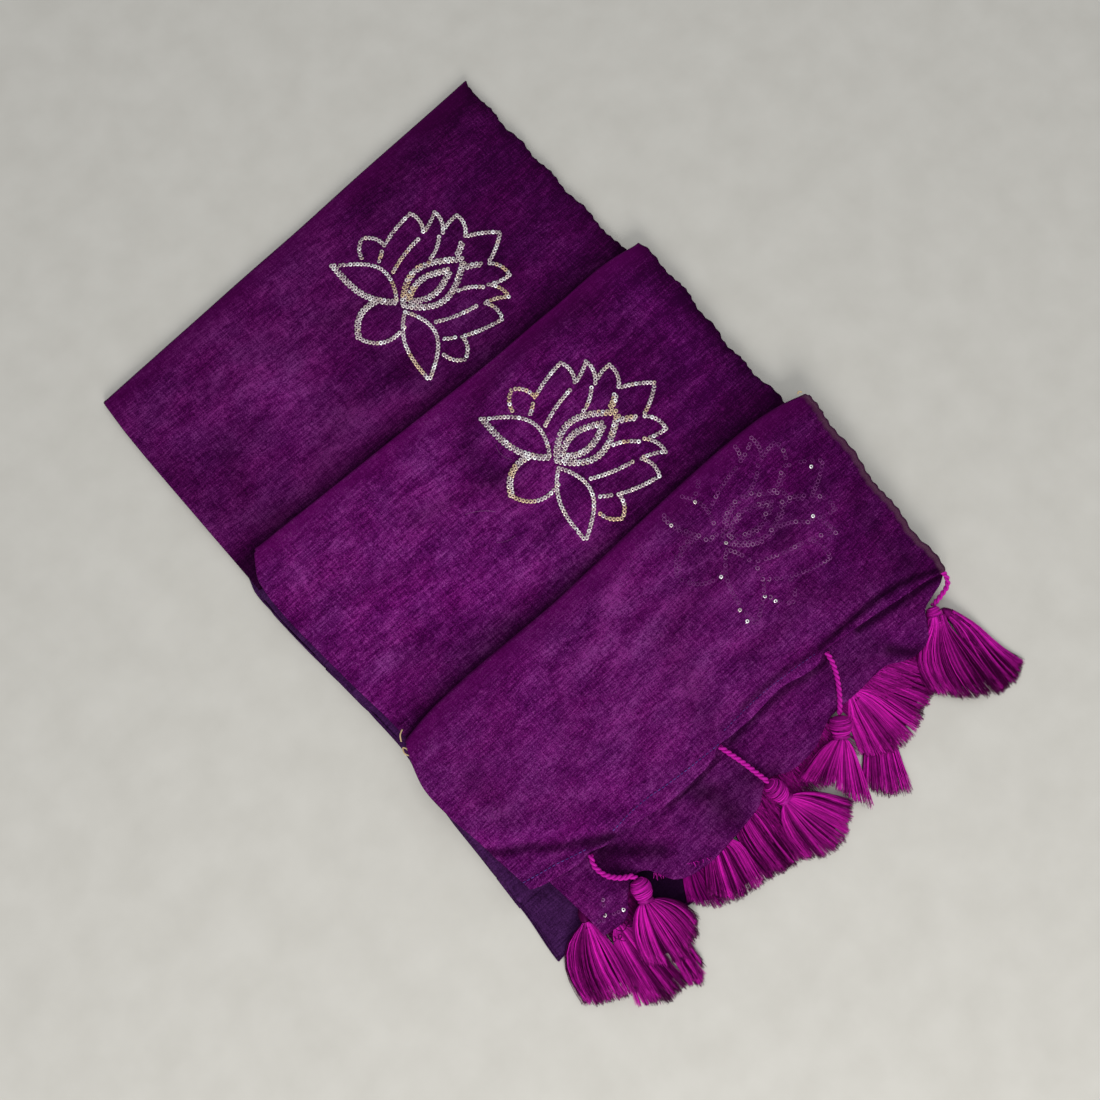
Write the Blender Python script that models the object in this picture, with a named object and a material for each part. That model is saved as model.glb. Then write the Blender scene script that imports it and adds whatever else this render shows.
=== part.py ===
"""Cotton saree, folded lengthwise in four and laid flat in three stepped stretches.

Frame: +X along the fold edges, +Y away from the tassels, +Z up, metres.
The origin lies under the middle of the folded saree, on the surface it rests on.
"""

import math
from collections import namedtuple

import bmesh
import bpy
from mathutils import Vector

MM = 0.001

# Middle of the drawing that the tables below are laid out in. The finished saree is moved so
# that this point is the origin.
MIDDLE = (-1.45 * MM, -0.40 * MM)

# Cloth
WALL = 1.2 * MM             # one stretch of cloth
HEM_WALL = 1.7 * MM         # pallu hem, turned and stitched
HEM_WIDTH = 7.0 * MM
HEM_STEP = 1.3              # where the plain cloth starts, in hem widths from the edge
SEAM = 0.40 * MM            # gap between layers that lie on each other
LEG = 16 * MM               # cloth that turns back under a fold
TUCK = 20 * MM              # how far a stretch runs in under the next fold
STEP_GAP = 1.6 * MM         # from a tucked end to the step of the hidden folds

# Heights of the outer side of each stretch above the surface
FIRST_TOP = 5.6 * MM
SECOND_TOP = 10.6 * MM
PALLU_TOP = 16.2 * MM
HEM_TOP = 13.9 * MM
LOWER_EDGE_TOP = 8.2 * MM

# Where the heights change along the length
PALLU_SLOPE_START = -95 * MM
HEM_LINE = -165 * MM
LOWER_EDGE_LINE = -205 * MM
LOWER_PLY_START = -113 * MM
INNER_END = -161 * MM
INNER_END_DEPTH = 12 * MM   # length over which the near end of the hidden folds rounds up
INNER_END_RISE = 0.25       # share of the height at which that rounding starts

# Humps of the ply below the hem over the tassel heads and folds under it, and the ridge that
# runs over the pallu's left corner to the last cord: both stand up by height
Hump = namedtuple("Hump", "x y height radius")
PLY_HUMPS = (
    Hump(119, -185, 1.3, 10), Hump(86, -187, 1.1, 11), Hump(62, -189, 0.8, 10),
    Hump(-28, -191, 0.9, 11), Hump(-52, -196, 0.7, 10), Hump(-124, -181, 1.0, 12),
)
RIDGE_START = (-154 * MM, -119 * MM)
RIDGE_END = (-96 * MM, -160 * MM)
RIDGE_HEIGHT = 1.5 * MM
RIDGE_HALF_WIDTH = 8 * MM

# Soft unevenness of the whole pile: height and wavelength of two long ripples
RIPPLE_A = (0.30 * MM, 140 * MM)
RIPPLE_B = (0.18 * MM, 95 * MM)
RIPPLE_FULL = 4 * MM        # layers nearer the surface than this ripple less

# Scallops of the selvages at the open side
SELVAGE_WAVE = 0.9 * MM
SELVAGE_PITCH = 31 * MM

# A fold line runs at y + skew * x
FoldLine = namedtuple("FoldLine", "y skew")
FOLD_1 = FoldLine(246.0 * MM, 0.062)
FOLD_2 = FoldLine(98.6 * MM, -0.020)
FOLD_3 = FoldLine(-44.5 * MM, -0.006)

# Left and right edge of each stretch, in millimetres, a row for each place along it
Side = namedtuple("Side", "y left right")
FIRST_SIDES = (
    Side(76, -156.5, 150.5),
    Side(150, -157.0, 150.8),
    Side(216, -157.0, 151.0),
    Side(246, -155.5, 152.0),
)
SECOND_SIDES = (
    Side(-66, -146.5, 156.0),
    Side(-30, -147.0, 154.8),
    Side(0, -150.0, 153.8),
    Side(28, -152.5, 155.8),
    Side(60, -154.5, 159.0),
    Side(82, -153.0, 159.6),
    Side(92, -147.5, 159.2),
    Side(98.6, -143.0, 158.2),
)
PALLU_SIDES = (
    Side(-172, -147.0, 150.5),
    Side(-160, -148.5, 154.0),
    Side(-140, -151.0, 155.6),
    Side(-120, -153.0, 157.2),
    Side(-103, -155.5, 159.3),
    Side(-77, -157.0, 162.8),
    Side(-60, -153.5, 164.8),
    Side(-44.5, -148.0, 166.5),
)
INNER_SIDES = (
    Side(-163, -160.5, 153.5),
    Side(-124, -158.8, 156.5),
    Side(-95, -158.0, 160.5),
    Side(-66, -156.0, 164.5),
    Side(-43, -153.0, 156.0),
    Side(0, -155.5, 155.5),
    Side(47, -159.0, 158.5),
    Side(79, -159.5, 159.5),
    Side(92, -156.5, 150.5),
    Side(150, -156.0, 149.5),
    Side(246, -154.0, 150.0),
)

# Pallu hem line and the edges of the two plies that show below it, in millimetres
EdgePoint = namedtuple("EdgePoint", "x y")
HEM_EDGE = (
    EdgePoint(-148, -151), EdgePoint(-110, -158.5), EdgePoint(-94, -161.5), EdgePoint(-51, -162),
    EdgePoint(-16, -163), EdgePoint(18, -161.5), EdgePoint(66, -164.5), EdgePoint(93, -166.5),
    EdgePoint(121, -171), EdgePoint(149, -175.5),
)
LOWER_EDGE = (
    EdgePoint(-134, -198), EdgePoint(-118, -199), EdgePoint(-108, -189), EdgePoint(-100, -185),
    EdgePoint(-92, -188), EdgePoint(-84, -202), EdgePoint(-65, -208), EdgePoint(-42, -206),
    EdgePoint(-24, -200), EdgePoint(-8, -196), EdgePoint(18, -199.5), EdgePoint(44, -195),
    EdgePoint(66, -194.5), EdgePoint(90, -194), EdgePoint(107, -199), EdgePoint(121, -192),
    EdgePoint(138, -185), EdgePoint(147, -181.5),
)
BOTTOM_EDGE = (
    EdgePoint(-162.5, -192), EdgePoint(-148, -191), EdgePoint(-130, -188), EdgePoint(-112, -191),
    EdgePoint(-100, -204), EdgePoint(-91, -216), EdgePoint(-82, -217.5), EdgePoint(-74, -206),
    EdgePoint(-66, -196),
)
LOWER_START_SIDES = (-141 * MM, 151.5 * MM)
BOTTOM_START_SIDES = (-159.5 * MM, -62 * MM)
BOTTOM_PLY_START = INNER_END - 1.4 * SEAM
BOTTOM_START_SKEW = -0.030

# Layered edge of the hidden folds: how far each lip stands back at the pile's full height,
# from the lowest lip up, in millimetres
LEFT_LIPS = (0.0, 1.6, 1.0, 3.2, 4.4)
RIGHT_LIPS = (0.8, 0.0, 2.2, 1.2, 3.4)
LIP_GROOVE = 1.3 * MM
LIP_WAVE = 0.5 * MM
LIP_PITCH = 41 * MM
INNER_SKEWS = (                     # place along the length in millimetres, slant of the folds
    (-163, -0.030), (-135, -0.008), (-111, 0.0), (-66, -0.006),
    (76, -0.020), (150, 0.025), (226, 0.062),
)

# Stretches that show: fold, edges, grid rows and columns, shift of the selvage's scallops
Stretch = namedtuple("Stretch", "fold sides rows columns phase")
FIRST = Stretch(FOLD_1, FIRST_SIDES, 15, 13, 0.4)
SECOND = Stretch(FOLD_2, SECOND_SIDES, 21, 13, 1.9)
PALLU = Stretch(FOLD_3, PALLU_SIDES, 19, 20, 0.6)

# Other grid steps
NOSE_STEPS = 5
LOWER_ROWS, LOWER_COLUMNS = 9, 34
BOTTOM_ROWS, BOTTOM_COLUMNS = 5, 14
INNER_COLUMNS = 13
INNER_STEP = 13 * MM

# Tassels
CORD_RADIUS = 1.5 * MM
CORD_STEPS = 4
LOCK_RINGS = (0.14, 0.60, 1.0)      # along a lock
LOCK_GAPS = (0.03, 0.05, 0.22)      # share of the lock's lane left open at each side
LOCK_APEX = (0.30, 0.50, 0.50)      # where the inner edge of a lock lies in its lane
LOCK_SPLIT = 0.25 * MM              # upper and lower locks part by twice this
HEAD_SIDES = 8
HEAD_PROFILE = (                    # share of the head's length, share of its radius
    (0.00, 0.38),
    (0.14, 0.82),
    (0.42, 1.00),
    (0.70, 0.80),
    (0.88, 0.62),
)

# One row for each tassel, in millimetres and degrees. top and root are the head's two ends.
# left and right are the mean headings of the skirt's two borders. curl is how far each border
# starts off that heading, to its left, and ends off it to its right. reach is the skirt's
# length at its left, middle and right. tip is the height of the middle of the skirt's end.
Tassel = namedtuple("Tassel", "name lanes top root radius half_width half_height "
                              "left right curl reach tip tip_half")
TASSELS = (
    Tassel("tassel_1", 9, (133.6, -188.6, 6.9), (127.5, -201.5, 6.6), 5.4, 5.5, 2.4,
           -93, -136, (0, -44), (47, 44, 38), 5.4, 1.3),
    Tassel("tassel_2", 10, (48.0, -197.6, 10.2), (40.5, -208.0, 7.6), 6.0, 4.8, 2.3,
           -112, -177, (0, 0), (43, 29, 34), 7.1, 1.3),
    Tassel("tassel_3", 10, (-8.6, -197.8, 10.2), (-6.8, -212.6, 6.8), 5.6, 5.0, 2.4,
           -47, -102, (10, -10), (37, 40, 34), 2.1, 1.5),
    Tassel("tassel_4", 11, (-99.8, -187.4, 11.0), (-104.2, -200.2, 9.6), 5.8, 5.0, 2.2,
           -66, -128, (26, -26), (28, 38, 33), 6.6, 1.3),
    Tassel("under_tassel_1", 8, (137.6, -193.8, 4.5), (143.4, -212.0, 2.5), 3.4, 4.2, 1.6,
           -82, -109, (-8, 0), (40, 42, 41), 1.7, 1.1),
    Tassel("under_tassel_2", 9, (86.0, -185.5, 4.1), (89.0, -197.0, 3.0), 3.4, 11.5, 1.9,
           -60, -67, (0, 0), (28, 33, 34), 1.7, 1.2),
    Tassel("under_tassel_3", 9, (63.0, -187.0, 4.9), (64.0, -198.5, 4.6), 3.2, 9.4, 1.7,
           -67, -119, (0, 0), (37, 38, 26), 3.9, 1.0),
    Tassel("under_tassel_4", 7, (73.5, -201.5, 1.3), (69.0, -208.5, 1.4), 0.9, 5.0, 0.8,
           -115, -138, (0, 0), (52, 53, 46), 1.4, 0.8),
    Tassel("under_tassel_5", 9, (-28.0, -190.0, 4.9), (-28.5, -203.0, 3.6), 3.8, 10.5, 2.2,
           -92, -100, (0, -8), (39, 40, 37), 2.1, 1.5),
    Tassel("under_tassel_6", 8, (-50.5, -193.0, 5.2), (-53.0, -205.0, 5.2), 2.1, 9.0, 1.4,
           -93, -130, (0, 0), (31, 32, 23), 4.9, 1.1),
    Tassel("under_tassel_7", 6, (-69.0, -194.0, 2.6), (-71.5, -204.0, 2.6), 0.9, 5.5, 0.8,
           -80, -128, (0, -10), (31, 26, 18), 2.4, 0.8),
    Tassel("under_tassel_8", 10, (-133.0, -178.0, 5.0), (-138.5, -189.0, 5.0), 3.2, 5.5, 1.9,
           -97, -128, (6, -40), (42, 42, 44), 4.6, 1.3),
    Tassel("under_tassel_9", 8, (-121.0, -190.5, 2.9), (-125.5, -202.5, 2.0), 1.5, 5.5, 1.0,
           -84, -110, (0, 0), (46, 47, 42), 1.6, 0.9),
    Tassel("under_tassel_10", 7, (-100.5, -195.0, 3.2), (-103.0, -206.5, 2.8), 1.5, 4.0, 1.1,
           -94, -102, (0, 0), (38, 49, 46), 1.7, 0.9),
)

# Way of each tassel's cord from the hem to the head, in millimetres. lift is the height over
# a cord that lies on the ply below the hem, at the same y.
RoutePoint = namedtuple("RoutePoint", "x y lift")
CORD_ROUTES = (
    ("tassel_cord_1", (RoutePoint(150.4, -176.6, -0.1), RoutePoint(151.4, -180.6, -1.2),
                       RoutePoint(149.0, -185.4, -3.2), RoutePoint(142.6, -187.4, -4.3),
                       RoutePoint(137.0, -188.2, -4.7))),
    ("tassel_cord_2", (RoutePoint(66.6, -166.4, 0.3), RoutePoint(65.0, -173.0, 0.3),
                       RoutePoint(61.4, -180.5, 0.3), RoutePoint(56.6, -187.6, 0.3),
                       RoutePoint(52.0, -193.2, 0.4), RoutePoint(48.4, -197.1, 0.0))),
    ("tassel_cord_3", (RoutePoint(-16.0, -164.6, 0.3), RoutePoint(-14.4, -171.0, 0.3),
                       RoutePoint(-12.0, -180.0, 0.3), RoutePoint(-10.2, -189.0, 0.3),
                       RoutePoint(-9.0, -194.4, 0.3), RoutePoint(-8.7, -197.3, -0.1))),
    ("tassel_cord_4", (RoutePoint(-110.6, -160.2, 0.3), RoutePoint(-113.0, -166.4, 0.3),
                       RoutePoint(-111.2, -174.4, 0.4), RoutePoint(-106.0, -180.6, 0.6),
                       RoutePoint(-101.4, -183.6, 0.6), RoutePoint(-99.9, -186.2, 0.0))),
)

# Colours as linear red, green, blue
CLOTH_COLOUR = (0.080, 0.004, 0.085)
DARK_CLOTH_COLOUR = (0.030, 0.006, 0.050)
TASSEL_COLOUR = (0.370, 0.010, 0.250)


def clear_scene():
    for item in list(bpy.data.objects):
        bpy.data.objects.remove(item, do_unlink=True)


def make_material(name, colour, roughness):
    material = bpy.data.materials.new(name)
    material.use_nodes = True
    shader = material.node_tree.nodes["Principled BSDF"]
    shader.inputs["Base Color"].default_value = (*colour, 1.0)
    shader.inputs["Roughness"].default_value = roughness
    shader.inputs["Metallic"].default_value = 0.0
    return material


def smooth_step(value, start, end):
    share = min(1.0, max(0.0, (value - start) / (end - start)))
    return share * share * (3 - 2 * share)


def mix(a, b, share):
    return a + (b - a) * share


def read_curve(points, at):
    """Smooth value at a place, through points of place and value in rising order."""
    if at <= points[0][0]:
        return points[0][1]
    if at >= points[-1][0]:
        return points[-1][1]
    index = max(i for i in range(len(points) - 1) if points[i][0] <= at)
    (x0, y0), (x1, y1) = points[index], points[index + 1]
    before = points[max(index - 1, 0)]
    after = points[min(index + 2, len(points) - 1)]
    width = x1 - x0
    slope_0 = (y1 - before[1]) / (x1 - before[0]) * width
    slope_1 = (after[1] - y0) / (after[0] - x0) * width
    t = (at - x0) / width
    return ((2 * t ** 3 - 3 * t ** 2 + 1) * y0 + (t ** 3 - 2 * t ** 2 + t) * slope_0
            + (3 * t ** 2 - 2 * t ** 3) * y1 + (t ** 3 - t ** 2) * slope_1)


def side_at(sides, y):
    """Left and right edge in metres at a place along the length."""
    left = read_curve([(row.y, row.left) for row in sides], y / MM)
    right = read_curve([(row.y, row.right) for row in sides], y / MM)
    return left * MM, right * MM


def edge_at(edge, x):
    return read_curve([(point.x, point.y) for point in edge], x / MM) * MM


def fold_y(fold, x):
    return fold.y + fold.skew * x


def selvage_wave(y, phase):
    return SELVAGE_WAVE * math.sin(math.tau * y / SELVAGE_PITCH + phase + math.sin(y / SELVAGE_PITCH))


def settle(x, y, z):
    """A point of the pile with the long soft ripples added, none at the surface."""
    ripple = RIPPLE_A[0] * math.sin(math.tau * (0.8 * x + y) / RIPPLE_A[1])
    ripple += RIPPLE_B[0] * math.sin(math.tau * (x - 0.6 * y) / RIPPLE_B[1] + 1.3)
    return Vector((x, y, z + ripple * min(1.0, z / RIPPLE_FULL)))


def pallu_top(y):
    return mix(PALLU_TOP, HEM_TOP, smooth_step(y, PALLU_SLOPE_START, HEM_LINE))


def lower_top(y):
    """Outer height of the ply under the pallu's top ply, and on past the hem to its own edge."""
    if y >= HEM_LINE:
        return pallu_top(y) - WALL - SEAM
    return mix(HEM_TOP - WALL - SEAM, LOWER_EDGE_TOP, smooth_step(y, HEM_LINE, LOWER_EDGE_LINE))


def ply_hump(x, y):
    rise = 0.0
    for hump in PLY_HUMPS:
        distance = math.hypot(x / MM - hump.x, y / MM - hump.y) / hump.radius
        rise += hump.height * MM * math.exp(-distance * distance)
    return rise


def pallu_ridge(x, y):
    along_x, along_y = RIDGE_END[0] - RIDGE_START[0], RIDGE_END[1] - RIDGE_START[1]
    length = math.hypot(along_x, along_y)
    across = ((x - RIDGE_START[0]) * along_y - (y - RIDGE_START[1]) * along_x) / length
    along = ((x - RIDGE_START[0]) * along_x + (y - RIDGE_START[1]) * along_y) / length ** 2
    ends = smooth_step(along, -0.3, 0.1) * (1 - smooth_step(along, 0.8, 1.25))
    return RIDGE_HEIGHT * ends * math.exp(-(across / RIDGE_HALF_WIDTH) ** 2)


def inner_top(y):
    """Height of the hidden folds, just under whichever stretch covers them there."""
    if y > FOLD_2.y - TUCK - STEP_GAP:
        cover = FIRST_TOP
    elif y > FOLD_3.y - TUCK - STEP_GAP:
        cover = SECOND_TOP
    elif y > LOWER_PLY_START + STEP_GAP:
        cover = pallu_top(y)
    else:
        cover = lower_top(y)
    return cover - WALL - SEAM


def link_mesh(name, bm, material, fix_normals=True):
    if fix_normals:
        bmesh.ops.recalc_face_normals(bm, faces=bm.faces)
    mesh = bpy.data.meshes.new(name)
    bm.to_mesh(mesh)
    bm.free()
    mesh.materials.append(material)
    mesh.shade_smooth()
    mesh.set_sharp_from_angle(angle=math.radians(50))
    item = bpy.data.objects.new(name, mesh)
    bpy.context.scene.collection.objects.link(item)
    return item


def cloth_wall(name, rows, material, thickness=WALL, shares=None):
    """Cloth from rows of points on its outer side, along +Y, each row running along +X."""
    bm = bmesh.new()
    grid = [[bm.verts.new(point) for point in row] for row in rows]
    for low, high in zip(grid, grid[1:]):
        for j in range(len(low) - 1):
            bm.faces.new((low[j], low[j + 1], high[j + 1], high[j]))
    columns = len(grid[0])
    item = link_mesh(name, bm, material, fix_normals=False)
    solidify = item.modifiers.new("cloth wall", "SOLIDIFY")
    solidify.thickness = thickness
    solidify.offset = -1.0
    solidify.use_rim = True
    if shares:
        group = item.vertex_groups.new(name="thickness")
        for i, share in enumerate(shares):
            group.add(list(range(i * columns, (i + 1) * columns)), share, "REPLACE")
        solidify.vertex_group = group.name
    return item


def stretch_rows(stretch, near_y, top, foot):
    """Rows of a stretch from its near end up to the fold, round it and back under.

    near_y gives the near end at an x, top the outer height at a y, foot the height at which
    the cloth that turns back under lies.
    """
    fold = stretch.fold
    radius = (top(fold.y) - foot) / 2
    places = []
    for i in range(stretch.rows):
        places.append(("over", i / (stretch.rows - 1)))
    for i in range(1, NOSE_STEPS + 1):
        places.append(("nose", math.pi * i / NOSE_STEPS))
    places.append(("under", 0.5))
    places.append(("under", 1.0))
    rows = []
    for kind, share in places:
        middle = fold.y
        if kind == "over":
            middle = mix(near_y(0.0), fold.y - radius, share)
        left, right = side_at(stretch.sides, middle)
        if kind == "over":
            right += selvage_wave(middle, stretch.phase)
        row = []
        for j in range(stretch.columns):
            x = mix(left, right, j / (stretch.columns - 1))
            line = fold_y(fold, x)
            if kind == "over":
                y = mix(near_y(x), line - radius, share)
                z = top(y)
            elif kind == "nose":
                y = line - radius + radius * math.sin(share)
                z = foot + radius + radius * math.cos(share)
            else:
                y = line - radius - LEG * share
                z = foot
            row.append(settle(x, y, z))
        rows.append(row)
    return rows


def make_first_stretch(material):
    rows = stretch_rows(FIRST, lambda x: fold_y(FOLD_2, x) - TUCK, lambda y: FIRST_TOP, 0.0)
    return cloth_wall("first_stretch", rows, material)


def make_second_stretch(material):
    rows = stretch_rows(SECOND, lambda x: fold_y(FOLD_3, x) - TUCK,
                        lambda y: SECOND_TOP, FIRST_TOP + SEAM)
    return cloth_wall("second_stretch", rows, material)


def make_pallu_stretch(material):
    """Top ply of the pallu, from the third fold to its hem. The hem's band stands up a little."""
    rows = stretch_rows(PALLU, lambda x: edge_at(HEM_EDGE, x), pallu_top, SECOND_TOP + SEAM)
    for row in rows[:-NOSE_STEPS - 2]:
        for point in row:
            point.z += pallu_ridge(point.x, point.y)
    band = HEM_WALL - WALL
    hem_edge, over_hem = rows[0], rows[1]
    back = []
    for near, far in zip(hem_edge, over_hem):
        back.append(near.lerp(far, HEM_WIDTH / (far - near).length))
    step = [near.lerp(far, HEM_STEP) for near, far in zip(hem_edge, back)]
    for row in (hem_edge, back):
        for point in row:
            point.z += band
    rows = [hem_edge, back, step] + rows[2:]
    shares = [1.0, 1.0] + [WALL / HEM_WALL] * (len(rows) - 2)
    return cloth_wall("pallu_stretch", rows, material, HEM_WALL, shares)


def ply_rows(edge, start_y, start_sides, top, row_count, columns):
    """Rows of a single ply from its free edge back to where it goes in under the pile."""
    rows = []
    for i in range(row_count):
        share = i / (row_count - 1)
        row = []
        for j in range(columns):
            across = j / (columns - 1)
            edge_x = mix(edge[0].x, edge[-1].x, across) * MM
            start_x = mix(*start_sides, across)
            x = mix(edge_x, start_x, smooth_step(share, 0, 1))
            y = mix(edge_at(edge, edge_x), start_y(x), share)
            row.append(settle(x, y, top(x, y)))
        rows.append(row)
    return rows


def make_lower_pallu_ply(material):
    rows = ply_rows(LOWER_EDGE, lambda x: LOWER_PLY_START, LOWER_START_SIDES,
                    lambda x, y: lower_top(y) + ply_hump(x, y), LOWER_ROWS, LOWER_COLUMNS)
    return cloth_wall("lower_pallu_ply", rows, material)


def make_bottom_ply(material):
    """The ply that lies flat on the surface under the pallu's left corner."""
    rows = ply_rows(BOTTOM_EDGE, lambda x: BOTTOM_PLY_START + BOTTOM_START_SKEW * x,
                    BOTTOM_START_SIDES, lambda x, y: WALL, BOTTOM_ROWS, BOTTOM_COLUMNS)
    for row in rows:
        for point in row:
            point.z = WALL
    return cloth_wall("bottom_ply", rows, material)


def lip_points(edge, outward, bottom, top, lips, y):
    """Side of the hidden folds from bottom to top: a lip for each fold, a groove between."""
    points = []
    count = len(lips)
    for k, inset in enumerate(lips):
        wave = LIP_WAVE * math.sin(math.tau * y / LIP_PITCH + 1.9 * k)
        lip = edge - outward * (inset * MM * top / PALLU_TOP + wave + LIP_WAVE)
        low = mix(bottom, top, k / count)
        high = mix(bottom, top, (k + 1) / count)
        points.append((lip, mix(low, high, 0.3 if k else 0.0)))
        points.append((lip, mix(low, high, 0.7)))
        if k < count - 1:
            points.append((lip - outward * LIP_GROOVE, high))
    points.append((points[-1][0] - outward * LIP_GROOVE, top))
    return points


def make_inner_folds(material):
    """The hidden layers as one rounded body with a flat underside and layered edges."""
    full = INNER_END + INNER_END_DEPTH
    tuck_1 = FOLD_2.y - TUCK - STEP_GAP
    tuck_2 = FOLD_3.y - TUCK - STEP_GAP
    ply_step = LOWER_PLY_START + STEP_GAP
    nose_radius = (FIRST_TOP - 2 * (WALL + SEAM)) / 2
    nose_y = FOLD_1.y - WALL - SEAM - nose_radius
    raised_y = FOLD_1.y - FIRST_TOP / 2 - LEG - STEP_GAP
    raised = WALL + SEAM
    sections = []
    for share in (0.0, 0.08, 0.3, 0.62, 1.0):
        y = mix(INNER_END, full, share)
        round_off = mix(INNER_END_RISE, 1.0, math.sqrt(1 - (1 - share) ** 2))
        sections.append((y, 0.0, inner_top(y) * round_off))
    stops = (full, ply_step, tuck_2, tuck_1, raised_y)
    for start, end in zip(stops, stops[1:]):
        count = max(2, round((end - start) / INNER_STEP))
        for i in range(1, count):
            y = mix(start, end, i / count)
            sections.append((y, 0.0, inner_top(y)))
        for offset in (-STEP_GAP / 2, STEP_GAP / 2):
            y = end + offset
            lifted = raised if y > raised_y else 0.0
            sections.append((y, lifted, inner_top(y)))
    for share in (0.45, 1.0):
        sections.append((mix(raised_y, nose_y, share), raised, inner_top(nose_y)))
    middle = raised + nose_radius
    for angle in (30, 55, 75):
        a = math.radians(angle)
        lift = nose_radius * math.cos(a)
        sections.append((nose_y + nose_radius * math.sin(a), middle - lift, middle + lift))
    bm = bmesh.new()
    rings = []
    for y, bottom, top in sections:
        skew = read_curve(INNER_SKEWS, y / MM)
        left, right = side_at(INNER_SIDES, y)
        points = lip_points(right, 1, bottom, top, RIGHT_LIPS, y)
        over = [(mix(right, left, k / INNER_COLUMNS), top) for k in range(1, INNER_COLUMNS)]
        points += over
        points += reversed(lip_points(left, -1, bottom, top, LEFT_LIPS, y))
        rings.append([bm.verts.new(settle(x, y + skew * x, z)) for x, z in points])
    for ring, following in zip(rings, rings[1:]):
        for k in range(len(ring)):
            after = (k + 1) % len(ring)
            bm.faces.new((ring[k], ring[after], following[after], following[k]))
    bm.faces.new(rings[0])
    bm.faces.new(rings[-1])
    return link_mesh("inner_folds", bm, material)


def zip_rings(bm, ring, finer):
    """Faces between two rings with different numbers of points, in the same order."""
    i = j = 0
    while i < len(ring) or j < len(finer):
        here, there = ring[i % len(ring)], finer[j % len(finer)]
        if j == len(finer) or (i < len(ring) and (i + 1) / len(ring) <= (j + 1) / len(finer)):
            i += 1
            bm.faces.new((here, ring[i % len(ring)], there))
        else:
            j += 1
            bm.faces.new((here, finer[j % len(finer)], there))


def add_lock(bm, root, rings):
    """A three-sided lock of threads from a triangle of root points through its rings."""
    previous = root
    for ring in rings:
        current = [bm.verts.new(point) for point in ring]
        for k in range(3):
            after = (k + 1) % 3
            bm.faces.new((previous[k], previous[after], current[after], current[k]))
        previous = current
    bm.faces.new(previous)


def make_tassel(row, material):
    """A tassel: a bound head, and locks of threads that fan out from its lower end."""
    top, root = Vector(row.top) * MM, Vector(row.root) * MM
    axis = (root - top).normalized()
    side = axis.cross(Vector((0, 0, 1))).normalized()
    up = side.cross(axis)
    bm = bmesh.new()
    previous = None
    for share, width in HEAD_PROFILE:
        centre = top.lerp(root, share)
        radius = row.radius * width * MM
        ring = []
        for k in range(HEAD_SIDES):
            turn = math.pi - math.tau * (k + 0.5) / HEAD_SIDES
            ring.append(bm.verts.new(centre + (side * math.cos(turn) + up * math.sin(turn)) * radius))
        if previous is None:
            bm.faces.new(ring)
        else:
            zip_rings(bm, previous, ring)
        previous = ring

    # Root of the skirt: an upper and a lower row of points, left to right
    upper, lower = [], []
    for k in range(row.lanes + 1):
        across = 2 * k / row.lanes - 1
        height = row.half_height * MM * (0.45 + 0.55 * math.sqrt(1 - across * across))
        place = root + side * (across * row.half_width * MM)
        upper.append(bm.verts.new(place + Vector((0, 0, height))))
        lower.append(bm.verts.new(place - Vector((0, 0, height))))
    zip_rings(bm, previous, upper + lower[::-1])

    def lane(k, share, reach):
        """Point on the border of lane k at a share of the skirt's length."""
        across = k / row.lanes
        heading = math.radians(mix(row.left, row.right, across))
        curl = math.radians(mix(*row.curl, across)) or 0.001
        start = root + side * ((2 * across - 1) * row.half_width * MM)
        first, last = heading + curl, heading + curl - 2 * curl * share
        bend = Vector((math.sin(first) - math.sin(last), math.cos(last) - math.cos(first), 0))
        return start + bend * reach / (2 * curl)

    def skirt_height(share, level):
        """level is 1 on the skirt's upper side, 0 in its middle and -1 on its lower side."""
        drop = smooth_step(share, 0, 1)
        middle = mix(row.root[2], row.tip, drop)
        return (middle + level * mix(row.half_height, row.tip_half, drop)) * MM

    for k in range(row.lanes):
        across = (k + 0.5) / row.lanes
        spread = read_curve(((0, row.reach[0]), (0.5, row.reach[1]), (1, row.reach[2])), across)
        for level in (1, -1):
            reach = spread * MM * (0.96 + 0.04 * math.sin(2.4 * k + 1.7 * level))
            rings = []
            for share, gap, apex in zip(LOCK_RINGS, LOCK_GAPS, LOCK_APEX):
                left, right = lane(k, share, reach), lane(k + 1, share, reach)
                outer = skirt_height(share, level)
                inner = skirt_height(share, 0) + level * LOCK_SPLIT
                inner_across = apex if level == 1 else 1 - apex
                ring = [left.lerp(right, gap), left.lerp(right, 1 - gap), left.lerp(right, inner_across)]
                ring[0].z = ring[1].z = outer
                ring[2].z = inner
                rings.append(ring)
            if level == 1:
                add_lock(bm, (upper[k], upper[k + 1], lower[k]), rings)
            else:
                add_lock(bm, (lower[k], lower[k + 1], upper[k + 1]), rings)
    return link_mesh(row.name, bm, material)


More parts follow.
